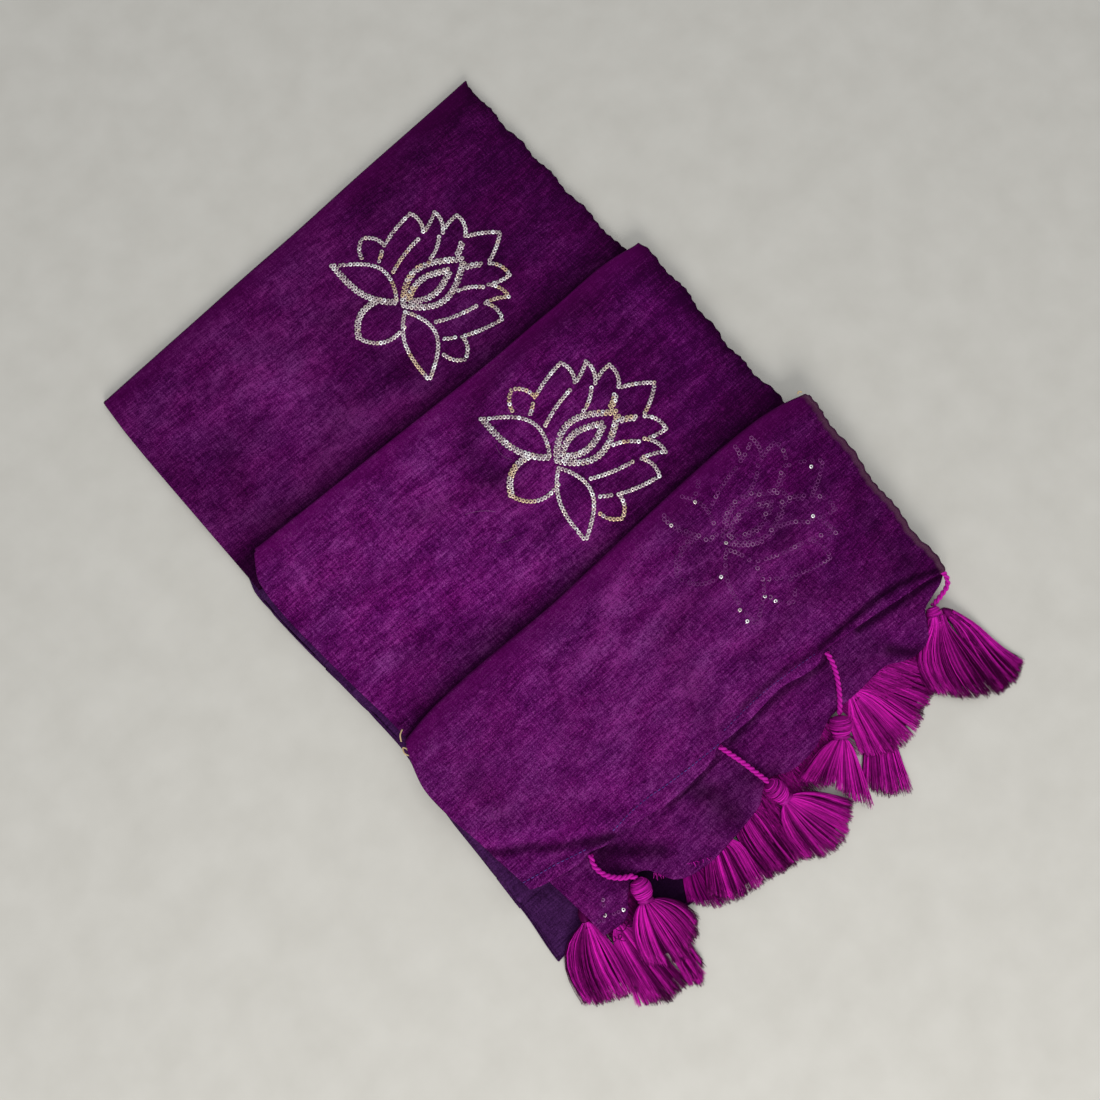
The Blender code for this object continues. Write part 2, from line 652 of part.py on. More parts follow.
def make_tassel_cord(name, route, material):
    """A cord from the hem to a tassel's head, a round tube on a smooth way through its points."""
    points = []
    for point in route:
        x, y = point.x * MM, point.y * MM
        ply = settle(x, y, lower_top(y) + ply_hump(x, y))
        points.append(ply + Vector((0, 0, CORD_RADIUS + SEAM + point.lift * MM)))
    smooth = []
    for i in range(len(points) - 1):
        before = points[max(i - 1, 0)]
        start, end = points[i], points[i + 1]
        after = points[min(i + 2, len(points) - 1)]
        for step in range(CORD_STEPS):
            t = step / CORD_STEPS
            smooth.append(0.5 * (2 * start + (end - before) * t
                                 + (2 * before - 5 * start + 4 * end - after) * t ** 2
                                 + (3 * start - before - 3 * end + after) * t ** 3))
    smooth.append(points[-1])
    curve = bpy.data.curves.new(name, "CURVE")
    curve.dimensions = "3D"
    curve.bevel_depth = CORD_RADIUS
    curve.bevel_resolution = 1
    curve.use_fill_caps = True
    spline = curve.splines.new("POLY")
    spline.points.add(len(smooth) - 1)
    for point, place in zip(spline.points, smooth):
        point.co = (*place, 1.0)
    curve.materials.append(material)
    item = bpy.data.objects.new(name, curve)
    bpy.context.scene.collection.objects.link(item)
    return item


def main():
    clear_scene()
    cloth = make_material("saree_cotton", CLOTH_COLOUR, 0.75)
    dark_cloth = make_material("saree_cotton_in_shade", DARK_CLOTH_COLOUR, 0.8)
    thread = make_material("tassel_thread", TASSEL_COLOUR, 0.5)
    make_inner_folds(dark_cloth)
    make_first_stretch(cloth)
    make_second_stretch(cloth)
    make_pallu_stretch(cloth)
    make_lower_pallu_ply(cloth)
    make_bottom_ply(dark_cloth)
    for name, route in CORD_ROUTES:
        make_tassel_cord(name, route, thread)
    for row in TASSELS:
        make_tassel(row, thread)
    for item in bpy.context.scene.objects:
        item.location = (-MIDDLE[0], -MIDDLE[1], 0.0)


main()
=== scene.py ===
import random
from collections import namedtuple
from math import atan2, ceil, cos, dist, exp, hypot, pi, radians, sin, sqrt, tau

import bpy
from mathutils import Matrix, Vector


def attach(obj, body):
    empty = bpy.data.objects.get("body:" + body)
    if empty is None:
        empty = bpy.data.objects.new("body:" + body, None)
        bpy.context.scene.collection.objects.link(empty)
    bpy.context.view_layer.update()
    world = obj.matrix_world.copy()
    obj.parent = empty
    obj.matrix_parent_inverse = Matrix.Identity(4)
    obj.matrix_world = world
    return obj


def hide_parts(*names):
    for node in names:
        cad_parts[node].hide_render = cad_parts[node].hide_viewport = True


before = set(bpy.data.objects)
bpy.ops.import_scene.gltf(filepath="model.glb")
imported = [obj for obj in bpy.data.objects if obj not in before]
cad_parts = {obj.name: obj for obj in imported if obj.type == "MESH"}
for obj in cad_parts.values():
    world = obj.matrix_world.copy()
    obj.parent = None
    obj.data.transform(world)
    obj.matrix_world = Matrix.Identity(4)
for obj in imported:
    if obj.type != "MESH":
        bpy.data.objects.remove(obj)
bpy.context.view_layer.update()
chance = random.Random(11)
mm = 0.001

# Shared form of the folded saree, in millimetres, on the drawing that its solids were laid out in
form = {
    "middle": (-1.45, -0.40),      # the point of the drawing that is the frame's origin
    "cloth": 0.45,                 # thickness of the shells
    "wall": 1.2,
    "seam": 0.40,
    "leg": 16,                     # cloth that turns back under a fold
    "tuck": 20,                    # how far a stretch runs in under the next fold
    "firstTop": 5.6,
    "secondTop": 10.6,
    "palluTop": 16.2,
    "hemTop": 13.9,
    "lowerEdgeTop": 8.2,
    "palluSlopeStart": -95,
    "hemLine": -165,
    "lowerEdgeLine": -205,
    "rippleFull": 4,
    "ripples": ((0.30, 140, 0.8, 1.0, 0.0), (0.18, 95, 1.0, -0.6, 1.3)),
    "selvageWave": 0.9,
    "selvagePitch": 31,
    "edgeBump": 0.45,              # small bumps of the rolled hem at the open side
    "edgeBumpPitch": 6.8,
}

Fold = namedtuple("Fold", "y skew bow")     # bow: how far it swings out at places along it
firstFold = Fold(246.0, 0.062, ((-150, 0), (150, 0)))
secondFold = Fold(98.6, -0.020, ((0, 0), (45, 0), (71, 0.9), (97, 1.6), (124, 3.0), (140, 2.4), (156, 0)))
palluFold = Fold(-44.5, -0.006, ((-148, 0), (-132, 3.0), (-117, 4.4), (-90, 5.0), (-62, 4.5), (-34, 4.0),
                                 (-6, 5.0), (21, 6.2), (49, 7.2), (77, 8.0), (105, 8.3), (132, 7.3),
                                 (150, 4.6), (166, 0)))


def smoothStep(value, start, end):
    share = min(1.0, max(0.0, (value - start) / (end - start)))
    return share * share * (3 - 2 * share)


def mix(a, b, share):
    return a + (b - a) * share


def readCurve(points, at):  # smooth value at a place, from pairs of place and value
    if at <= points[0][0]:
        return points[0][1]
    if at >= points[-1][0]:
        return points[-1][1]
    index = max(i for i in range(len(points) - 1) if points[i][0] <= at)
    (x0, y0), (x1, y1) = points[index], points[index + 1]
    before = points[max(index - 1, 0)]
    after = points[min(index + 2, len(points) - 1)]
    width = x1 - x0
    slopeIn = (y1 - before[1]) / (x1 - before[0]) * width
    slopeOut = (after[1] - y0) / (after[0] - x0) * width
    t = (at - x0) / width
    return ((2 * t ** 3 - 3 * t ** 2 + 1) * y0 + (t ** 3 - 2 * t ** 2 + t) * slopeIn
            + (3 * t ** 2 - 2 * t ** 3) * y1 + (t ** 3 - t ** 2) * slopeOut)


def sidesAt(sides, y):
    return [readCurve([(row[0], row[side]) for row in sides], y) for side in (1, 2)]


def foldY(fold, x):
    return fold.y + fold.skew * x + readCurve(fold.bow, x)


def rippleAt(x, y, z):  # the long soft unevenness of the pile, none at the surface
    lift = sum(height * sin(tau * (alongX * x + alongY * y) / length + shift)
               for height, length, alongX, alongY, shift in form["ripples"])
    return lift * min(1.0, z / form["rippleFull"])


def palluTop(y):
    slope = smoothStep(y, form["palluSlopeStart"], form["hemLine"])
    return mix(form["palluTop"], form["hemTop"], slope)


def lowerTop(y):
    gap = form["wall"] + form["seam"]
    if y >= form["hemLine"]:
        return palluTop(y) - gap
    drop = smoothStep(y, form["hemLine"], form["lowerEdgeLine"])
    return mix(form["hemTop"] - gap, form["lowerEdgeTop"], drop)


def place(x, y, z):  # from the drawing to the frame
    return ((x - form["middle"][0]) * mm, (y - form["middle"][1]) * mm, z * mm)


# Meshes

def makePiece(name, points, faces, finish, marks, node=None):
    mesh = bpy.data.meshes.new(name)
    mesh.from_pydata([place(*p) for p in points], [], faces)
    mesh.materials.append(finish)
    mesh.shade_smooth()
    for mark, values in marks.items():
        mesh.attributes.new(mark, "FLOAT", "POINT").data.foreach_set("value", values)
    piece = bpy.data.objects.new(name, mesh)
    bpy.context.scene.collection.objects.link(piece)
    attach(piece, "root")
    if node:
        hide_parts(node)
    return piece


def gridFaces(rowCount, columnCount):
    faces = []
    for row in range(rowCount - 1):
        for a in range(row * columnCount, (row + 1) * columnCount - 1):
            faces.append((a, a + 1, a + columnCount + 1, a + columnCount))
    return faces


def ringFaces(ringCount, size, first=0):  # walls between closed rings of points
    faces = []
    for start in range(first, first + (ringCount - 1) * size, size):
        for k in range(size):
            a, b = start + k, start + (k + 1) % size
            faces.append((a, b, b + size, a + size))
    return faces


def clothPiece(name, node, rows, finish, marks):
    points = [p for row in rows for p in row]
    piece = makePiece(name, points, gridFaces(len(rows), len(rows[0])), finish, marks, node)
    wall = piece.modifiers.new("cloth", "SOLIDIFY")
    wall.thickness = form["cloth"] * mm
    wall.offset = -1.0
    return piece


def cutSize(rows):  # width and length of the cloth laid flat, in metres
    def meanRun(lines):
        runs = [sum(dist(a, b) for a, b in zip(line, line[1:])) * mm for line in lines]
        return round(sum(runs) / len(runs), 4)
    return meanRun(rows), meanRun(list(zip(*rows)))


def aheadOf(line, i):
    return line[min(i + 1, len(line) - 1)] - line[max(i - 1, 0)]


def around(centre, across, up, turn, radius):
    return centre + (across * cos(turn) + up * sin(turn)) * radius


class Bundle:  # tubes and rings gathered into one mesh
    def __init__(self):
        self.points, self.faces, self.tones = [], [], []

    def add(self, points, faces, tone):
        first = len(self.points)
        self.points += [tuple(p) for p in points]
        self.faces += [tuple(first + k for k in face) for face in faces]
        self.tones += tone if isinstance(tone, list) else [tone] * len(points)

    def tube(self, line, radius, sides=3, tone=0.5, endRadius=None):
        points, tones = [], []
        for i, p in enumerate(line):
            ahead = aheadOf(line, i)
            across = ahead.cross(Vector((0, 0, 1)))
            across = across.normalized() if across.length > 1e-6 else Vector((1, 0, 0))
            up = across.cross(ahead).normalized()
            size = mix(radius, radius if endRadius is None else endRadius, i / (len(line) - 1))
            for k in range(sides):
                points.append(around(p, across, up, tau * k / sides + pi / 2, size))
                tones.append(tone[i] if isinstance(tone, list) else tone)
        cap = tuple(range(len(points) - sides, len(points)))
        self.add(points, ringFaces(len(line), sides) + [cap], tones)

    def piece(self, name, finish, slot="saree_cloth", node=None):
        return makePiece(name, self.points, self.faces, finish, {"tone": self.tones}, node)


# Materials

class Wire:  # a socket that takes part in sums
    def __init__(self, finish, socket):
        self.finish = finish
        self.socket = socket

    def sum(self, operation, first, second):
        return self.finish.node("Math", {"operation": operation}, {0: first, 1: second})

    def __add__(self, other):
        return self.sum("ADD", self, other)

    def __sub__(self, other):
        return self.sum("SUBTRACT", self, other)

    def __rsub__(self, other):
        return self.sum("SUBTRACT", other, self)

    def __mul__(self, other):
        return self.sum("MULTIPLY", self, other)

    __radd__ = __add__
    __rmul__ = __mul__


class Finish:  # a material under construction
    def __init__(self, name, **constants):
        self.material = bpy.data.materials.new(name)
        self.material.use_nodes = True
        self.tree = self.material.node_tree
        self.shader = self.tree.nodes["Principled BSDF"]
        for key, value in constants.items():
            self.shader.inputs[key.replace("_", " ")].default_value = value

    def node(self, kind, settings=None, sockets=None, out=0):
        made = self.tree.nodes.new("ShaderNode" + kind)
        for key, value in (settings or {}).items():
            if key == "stops":
                ramp = made.color_ramp
                while len(ramp.elements) < len(value):
                    ramp.elements.new(0.5)
                for element, (position, colour) in zip(ramp.elements, value):
                    element.position = position
                    element.color = (*colour, 1.0)
            else:
                setattr(made, key, value)
        for key, value in (sockets or {}).items():
            if isinstance(value, Wire):
                self.tree.links.new(value.socket, made.inputs[key])
            else:
                made.inputs[key].default_value = value
        return Wire(self, made.outputs[out])

    def coords(self):
        return self.node("TexCoord", out="Object")

    def noise(self, vector, scale, detail=2.0, rough=0.5, stretch=None):
        if stretch:
            vector = self.node("VectorMath", {"operation": "MULTIPLY"}, {0: vector, 1: stretch})
        return self.node("TexNoise", None, {"Vector": vector, "Scale": scale, "Detail": detail,
                                            "Roughness": rough}, "Fac")

    def ramp(self, value, stops):
        return self.node("ValToRGB", {"stops": stops}, {"Fac": value})

    def span(self, value, low, high, toHigh=1.0):
        return self.node("MapRange", None, {"Value": value, "From Min": low, "From Max": high,
                                            "To Max": toHigh})

    def blend(self, share, first, second, mode="MIX"):
        if isinstance(second, tuple):
            second = (*second, 1.0)
        return self.node("Mix", {"data_type": "RGBA", "blend_type": mode},
                         {0: share, 6: first, 7: second}, 2)

    def mark(self, name):  # a value that the mesh carries at each point
        return self.node("Attribute", {"attribute_name": name}, None, "Fac")

    def feed(self, **wires):
        for key, wire in wires.items():
            self.tree.links.new(wire.socket, self.shader.inputs[key.replace("_", " ")])
        return self.material


clothLook = {
    "dark": (0.0270, 0.0006, 0.0285),
    "middle": (0.0860, 0.0045, 0.0860),
    "light": (0.2150, 0.0360, 0.2050),
    "lint": (0.2000, 0.1200, 0.2000),      # pale fibre specks, painted as highlights where the cloth is brighter
    "warm": (0.0740, 0.0010, 0.0600),      # painted shade with a warmer tint at the crown of a fold
    "blue": (0.0420, 0.0140, 0.0700),      # thin plies with the ground behind them
    "edge": (0.0850, 0.0280, 0.0580),      # the sheer band at the open side
    "sheer": 0.18,          # how far that band is seen through
    "drift": 9,             # soft changes of shade per metre
    "patch": 48,
    "mottle": 95,
    "soft": 0.50,           # how strong these are
    "thread": 950,          # fineness of the weave's streaks
    "streak": 130,
    "grain": 1500,
    "weave": 2.9,           # how strong the single threads are
    "level": 0.48,          # brightness between dark and light
}


def clothFinish(name, shade, blue=0.0, fade=0.24, lint=1.0):
    look = clothLook
    f = Finish(name, Roughness=0.75, Specular_IOR_Level=0.10, Specular_Tint=(1.0, 0.08, 1.0, 1.0))
    where = f.coords()
    aslant = f.node("Mapping", None, {"Vector": where, "Rotation": (0, 0, radians(25)),
                                      "Scale": (1.0, 0.6, 1.0)})
    soft = f.noise(aslant, look["drift"])
    soft += f.noise(where, look["patch"], 3.0, 0.6, (0.35, 1.1, 1.0))
    soft += f.noise(where, look["mottle"], 1.0, 0.5, (0.45, 1.15, 1.0))
    thread, streak = look["thread"], look["streak"]
    warp = f.noise(where, 1.0, 2.0, 0.6, (streak, thread, streak))
    weft = f.noise(where, 1.0, 2.0, 0.6, (thread, streak, streak))
    weave = warp * 0.36 + f.noise(where, look["grain"], 1.0) * 0.40 + weft * 0.24
    value = (soft - 1.5) * look["soft"] + (weave - 0.5) * look["weave"] + look["level"]
    # painted shade: darker towards the right by fade, standing in for light falling off, and darker at the
    # crown of a fold
    shadeFalloffX = f.node("SeparateXYZ", None, {"Vector": where}, "X")
    value = value - f.span(shadeFalloffX, 0.0, 0.16) * fade - f.mark("fold") * 0.10
    colour = f.ramp(value, ((0.10, look["dark"]), (0.50, look["middle"]), (0.95, look["light"])))
    hue = f.noise(where, 60, stretch=(0.6, 1.0, 1.0)) * 0.7 + f.noise(where, 1100, 1.0) * 0.3
    redder = f.blend(1.0, colour, (1.10, 0.30, 0.90), "MULTIPLY")
    colour = f.blend(f.span(hue, 0.38, 0.62, 0.55), colour, redder)
    # painted shade: a darker, warmer tint at the crown of a fold
    colour = f.blend(f.mark("fold") * 0.6, colour, look["warm"])
    pale = f.span(f.noise(where, 1800, 0.0), 0.56, 0.76, 0.15 * lint) * f.span(value, 0.22, 0.80)
    colour = f.blend(pale, colour, look["lint"])
    if blue:
        stops = [(at, [strength * c for c in look["blue"]]) for at, strength in ((0.1, 0.45), (0.9, 1.6))]
        colour = f.blend(blue, colour, f.ramp(value, stops))
    colour = f.blend(1.0, colour, (1.0 - f.mark("shade") * 0.85) * shade, "MULTIPLY")
    edge = f.mark("edge")
    colour = f.blend(edge * 0.85, colour, look["edge"])
    bump = f.node("Bump", None, {"Height": weave, "Distance": 0.0003, "Strength": 0.5})
    return f.feed(Base_Color=colour, Normal=bump, Alpha=1.0 - edge * look["sheer"])


def threadFinish(name, dark, light):
    f = Finish(name, Roughness=0.42, Specular_IOR_Level=0.22, Specular_Tint=(1.0, 0.10, 0.85, 1.0))
    where = f.coords()
    grain, patch = f.noise(where, 500), f.noise(where, 55)
    value = f.mark("tone") * 0.9 + (grain - 0.5) * 0.25 + (patch - 0.5) * 0.45
    return f.feed(Base_Color=f.ramp(value, ((0.08, dark), (0.92, light))))


def sequinFinish(name, metal, rough, gloss, opacity, *stops):
    f = Finish(name, Metallic=metal, Roughness=rough, Specular_IOR_Level=gloss, Alpha=opacity)
    return f.feed(Base_Color=f.ramp(f.mark("tone"), stops))


# painted shade: each copy of the cloth is made lighter or darker as a whole by its shade
firstCloth = clothFinish("firstStretchCotton", 0.78, fade=0.28, lint=0.35)
secondCloth = clothFinish("secondStretchCotton", 1.17, fade=0.35)
palluCloth = clothFinish("palluCotton", 1.03)
lowerCloth = clothFinish("lowerPlyCotton", 0.85, lint=0.7)
shadedCloth = clothFinish("hiddenFolds", 0.74, 0.82)
silkThread = threadFinish("tasselThread", (0.050, 0.0002, 0.032), (0.88, 0.020, 0.60))
deepThread = threadFinish("tasselThreadInShade", (0.045, 0.0002, 0.034), (0.50, 0.006, 0.34))
cordThread = threadFinish("cordThread", (0.26, 0.002, 0.17), (0.58, 0.016, 0.39))
stitchThread = threadFinish("hemStitch", (0.045, 0.028, 0.17), (0.11, 0.075, 0.32))
darkThread = threadFinish("darkThread", (0.012, 0.0004, 0.012), (0.060, 0.002, 0.055))
tanThread = threadFinish("looseLoop", (0.30, 0.19, 0.08), (0.62, 0.48, 0.26))
hairThread = threadFinish("strayHair", (0.20, 0.06, 0.17), (0.42, 0.24, 0.40))
spangle = sequinFinish("sequin", 0.40, 0.25, 0.6, 1.0,
                       (0.0, (0.42, 0.30, 0.31)), (0.45, (0.80, 0.72, 0.72)),
                       (0.70, (0.66, 0.45, 0.26)), (1.0, (1.0, 0.98, 0.96)))
veiledSpangle = sequinFinish("veiledSequin", 0.0, 0.6, 0.1, 0.42, (0.0, (0.13, 0.010, 0.13)),
                             (0.6, (0.34, 0.09, 0.32)), (1.0, (0.52, 0.25, 0.48)))
print("finishes ready")


# Stretches of cloth. Sides: place along the length, left edge, right edge. Creases: two ends
# (x, y, x, y), half width, height (a trough where below nought). Lines: points of a line of painted shade
# along a crease, a fold's shadow or a soft patch, half width, how dark (painted light where below nought),
# height. Humps: x, y, height, radius.

def creaseLift(creases, x, y, ends=(-0.25, 0.25, 0.75, 1.25)):
    # ends: where a crease swells and where it dies away, over its length
    lift = 0.0
    for x0, y0, x1, y1, width, height in creases:
        alongX, alongY = x1 - x0, y1 - y0
        length = hypot(alongX, alongY)
        across = ((x - x0) * alongY - (y - y0) * alongX) / length / width
        if abs(across) > 3:
            continue
        along = ((x - x0) * alongX + (y - y0) * alongY) / length ** 2
        fade = smoothStep(along, *ends[:2]) * (1 - smoothStep(along, *ends[2:]))
        lift += height * fade * exp(-across * across)
    return lift


def distanceTo(points, x, y):
    nearest = 1e9
    for (ax, ay), (bx, by) in zip(points, points[1:]):
        share = ((x - ax) * (bx - ax) + (y - ay) * (by - ay)) / ((bx - ax) ** 2 + (by - ay) ** 2)
        share = min(1.0, max(0.0, share))
        nearest = min(nearest, hypot(x - mix(ax, bx, share), y - mix(ay, by, share)))
    return nearest


lineReach = (2.4, 45, 25)      # how near a line counts: its half widths, and further in x and y


def lineShadeAndLift(lines, x, y):
    # painted shade (painted light where below nought) and lift that lines give to a point
    dark = lift = 0.0
    widths, nearX, nearY = lineReach
    for points, width, lineDark, height in lines:
        reach = width * widths
        if any(abs(x - px) < reach + nearX and abs(y - py) < reach + nearY for px, py in points):
            share = exp(-(distanceTo(points, x, y) / width) ** 2)
            dark += lineDark * share
            lift += height * share
    return dark, lift


def slackLift(x, y, amount):  # slight puckers of thin cloth
    lift = 0.10 * sin(x / 7.3 + 2.1 * sin(y / 31)) * sin(y / 11.7 + 1.3)
    lift += 0.13 * sin((x + 1.6 * y) / 17 + 1.1 * sin(x / 47))
    lift += 0.09 * sin((1.3 * x - y) / 12.5 + sin(y / 23))
    return lift * amount


def relief(look, x, y):  # creases and puckers of a stretch
    return creaseLift(look["creases"], x, y) + slackLift(x + look["shift"], y, look["slack"])


def topSurface(look, x, y):
    z = look["top"](y)
    return z + rippleAt(x, y, z) + relief(look, x, y)


def paint(dark):  # a painted shade (painted light where below nought) within what the cloth's finish can take
    return min(0.95, max(-0.6, dark))


stretchLook = {
    "step": 1.85,           # size of the mesh's squares
    "noseSteps": 12,
    "underSteps": 4,
    "leftTurns": 5,         # columns that roll round the folded left side
    "selvageShade": 0.45,
    "selvageReach": 6.0,
    "sheerBand": 3.5,
    "rolledEdge": 0.9,
    "crown": 20,            # reach of the warmer painted shade behind a fold
    "shadow": (22, 0.66),   # reach and darkness at the foot of the next fold
    "seam": (3.4, 0.40),    # the same, close to it
}


def selvageSwing(y, phase):  # how far the open side wanders
    pitch, bumpPitch = form["selvagePitch"], form["edgeBumpPitch"]
    wave = sin(tau * y / pitch + phase + sin(y / pitch))
    bumps = sin(tau * y / bumpPitch + 2 * sin(y / 9))
    return form["selvageWave"] * wave + form["edgeBump"] * bumps


def leftRoll(column):  # how far a column round the left side stands in, and how far it drops
    if column > 0:
        return 0.0, 0.0
    angle = pi * (1 - column) / (stretchLook["leftTurns"] + 1)
    past = angle - pi / 2
    return 1.1 * (1 - sin(angle)) if past < 0 else 1.6 * past, 0.75 * (1 - cos(angle))


def sheerness(distance):
    band = stretchLook["sheerBand"]
    return 0.35 if distance < stretchLook["rolledEdge"] else 1 - smoothStep(distance, band - 0.8, band + 0.6)


def footShade(look, x, y):  # how dark it is where the next fold lies on the cloth
    if not look["next"]:
        return 0.0
    gap = y - foldY(look["next"], x)
    return sum(depth * (1 - smoothStep(gap, start, reach))
               for start, (reach, depth) in ((1, stretchLook["shadow"]), (0, stretchLook["seam"])))


def stretchRows(look, nearY, lift, step=stretchLook["step"]):
    # rows from the near end up to the fold, round it and back under, and the marks of each point
    fold, foot, top, common = look["fold"], look["foot"], look["top"], stretchLook
    radius = (top(fold.y) - foot) / 2
    length = fold.y - nearY(0.0)
    places = [("over", i * step / length) for i in range(int(length / step))] + [("over", 1.0)]
    places += [("nose", pi * (i + 1) / common["noseSteps"]) for i in range(common["noseSteps"])]
    places += [("under", (i + 1) / common["underSteps"]) for i in range(common["underSteps"])]
    columns = int((look["sides"][0][2] - look["sides"][0][1]) / step)
    rows, edge, crown, shade = [], [], [], []
    for kind, share in places:
        middle = mix(nearY(0.0), fold.y - radius, share) if kind == "over" else fold.y
        left, right = sidesAt(look["sides"], middle)
        right += selvageSwing(middle, look["phase"])
        row = []
        for column in range(-common["leftTurns"], columns + 1):
            x = mix(left, right, max(column, 0) / columns)
            line = foldY(fold, x)
            inward, drop = leftRoll(column)
            x += inward
            dark = 0.0
            if kind == "over":
                y = mix(nearY(x), line - radius, share)
                dark, pressed = lineShadeAndLift(look["lines"], x, y)
                z = top(y) + lift(x, y, share) + pressed * smoothStep(share, 0.0, 0.12)
                dark += footShade(look, x, y)
                dark += common["selvageShade"] * exp(-((right - x) / common["selvageReach"]) ** 2)
            elif kind == "nose":
                y = line - radius + radius * sin(share)
                z = foot + radius + radius * cos(share)
                if share < 1.7:
                    z += lift(x, y, 1.0) * (1 - share / 1.7)
                drop *= cos(share)
                # painted shade on the underside of the fold's nose
                dark = 0.5 * smoothStep(share, 0.6, 1.6)
            else:
                y = line - radius - form["leg"] * share
                z = foot
                drop = -drop
            row.append((x, y, max(0.02, z + rippleAt(x, y, z) - drop)))
            hidden = not look["sheer"] or kind == "under" or kind == "nose" and share > 1.3
            edge.append(0.0 if hidden else sheerness(right - x))
            crown.append(0.0 if kind == "under" else 1 - smoothStep(line - y, 1, common["crown"]))
            shade.append(paint(dark))
        rows.append(row)
    return rows, {"edge": edge, "fold": crown, "shade": shade}


firstLook = {
    "fold": firstFold,
    "next": secondFold,
    "top": lambda y: form["firstTop"],
    "foot": 0.0,
    "phase": 0.4,
    "settle": 0.10,         # where its creases begin, over its length
    "shift": 0,
    "slack": 1.0,
    "sheer": False,
    "sides": (
        (76, -156.5, 150.5), (150, -157, 150.8), (216, -157, 151), (246, -155.5, 152),
    ),
    "creases": (
        (-140, 222, -40, 236, 7, 0.3), (-20, 205, 120, 214, 10, -0.25), (-150, 160, -60, 148, 9, 0.35),
        (60, 120, 140, 150, 9, 0.3), (-120, 100, -20, 110, 8, -0.3), (110, 170, 140, 235, 8, 0.25),
        (-100, 180, -110, 110, 11, 0.22), (0, 150, 30, 105, 9, 0.2),
    ),
    "lines": (
        (((-20, 186), (10, 178), (24, 160)), 6, 0.3, -0.3),
        (((70, 196), (88, 170), (84, 140)), 7, 0.28, -0.3),
        (((-80, 120), (-40, 135), (0, 128)), 9, 0.22, -0.3),
        (((-140, 190), (-90, 180), (-60, 160)), 10, -0.2, 0.3),
        (((142, 245), (92, 236), (51, 228)), 15, 0.32, 0),
        (((-69, 175), (-83, 142)), 12, -0.25, 0.3),
        (((-127, 135), (-118, 160)), 8, 0.3, -0.3),
        (((-150, 180), (-146, 130), (-120, 112)), 10, 0.22, 0),
        (((-12, 150), (3, 122), (42, 119), (68, 124)), 9, 0.28, -0.2),
    ),
}
secondLook = {
    "fold": secondFold,
    "next": palluFold,
    "top": lambda y: form["secondTop"],
    "foot": form["firstTop"] + form["seam"],
    "phase": 1.9,
    "settle": 0.12,
    "shift": 40,
    "slack": 1.0,
    "sheer": False,
    "sides": (
        (-66, -146.5, 156), (-30, -147, 154.8), (0, -150, 153.8), (28, -152.5, 155.8), (60, -154.5, 159),
        (82, -153, 159.6), (92, -147.5, 159.2), (98.6, -143, 158.2),
    ),
    "creases": (
        (-120, 70, -30, 82, 8, 0.28), (20, 70, 130, 60, 10, -0.25), (-140, 20, -50, 30, 9, 0.32),
        (70, -10, 150, 12, 9, 0.34), (-100, -30, 0, -20, 9, -0.28), (130, 30, 120, 85, 8, 0.26),
        (-70, 60, -90, -20, 12, 0.22), (90, 60, 100, -20, 12, 0.22),
    ),
    "lines": (
        (((-60, 52), (-24, 44), (14, 34)), 5, 0.3, -0.3),
        (((60, 70), (82, 44), (80, 10)), 7, 0.28, -0.3),
        (((-10, -6), (24, 2), (52, -14)), 6, 0.25, -0.3),
        (((-130, 30), (-90, 20), (-60, -6)), 10, -0.2, 0.3),
        (((-118, -10), (-90, -22), (-60, -30)), 8, 0.25, -0.2),
        (((104, 86), (46, 92), (10, 82), (-10, 60), (-6, 27)), 9, 0.42, -0.3),
        (((135, 78), (136, 43), (124, -6)), 6, -0.26, 0.3),
        (((150, 80), (158, 36), (146, -20)), 10, 0.3, 0),
        (((-86, 50), (-42, -5), (-100, 16)), 16, -0.12, 0),
        (((40, -18), (90, -20), (140, -22)), 9, 0.28, 0),
        (((116, 96), (112, 50), (126, 0)), 26, 0.2, 0),
    ),
}


def makeStretch(name, node, finish, look):
    def lift(x, y, share):
        return relief(look, x, y) * smoothStep(share, look["settle"], 0.2)
    rows, marks = stretchRows(look, lambda x: foldY(look["next"], x) - form["tuck"], lift)
    piece = clothPiece(name, node, rows, finish, marks)
    cutSize(rows)


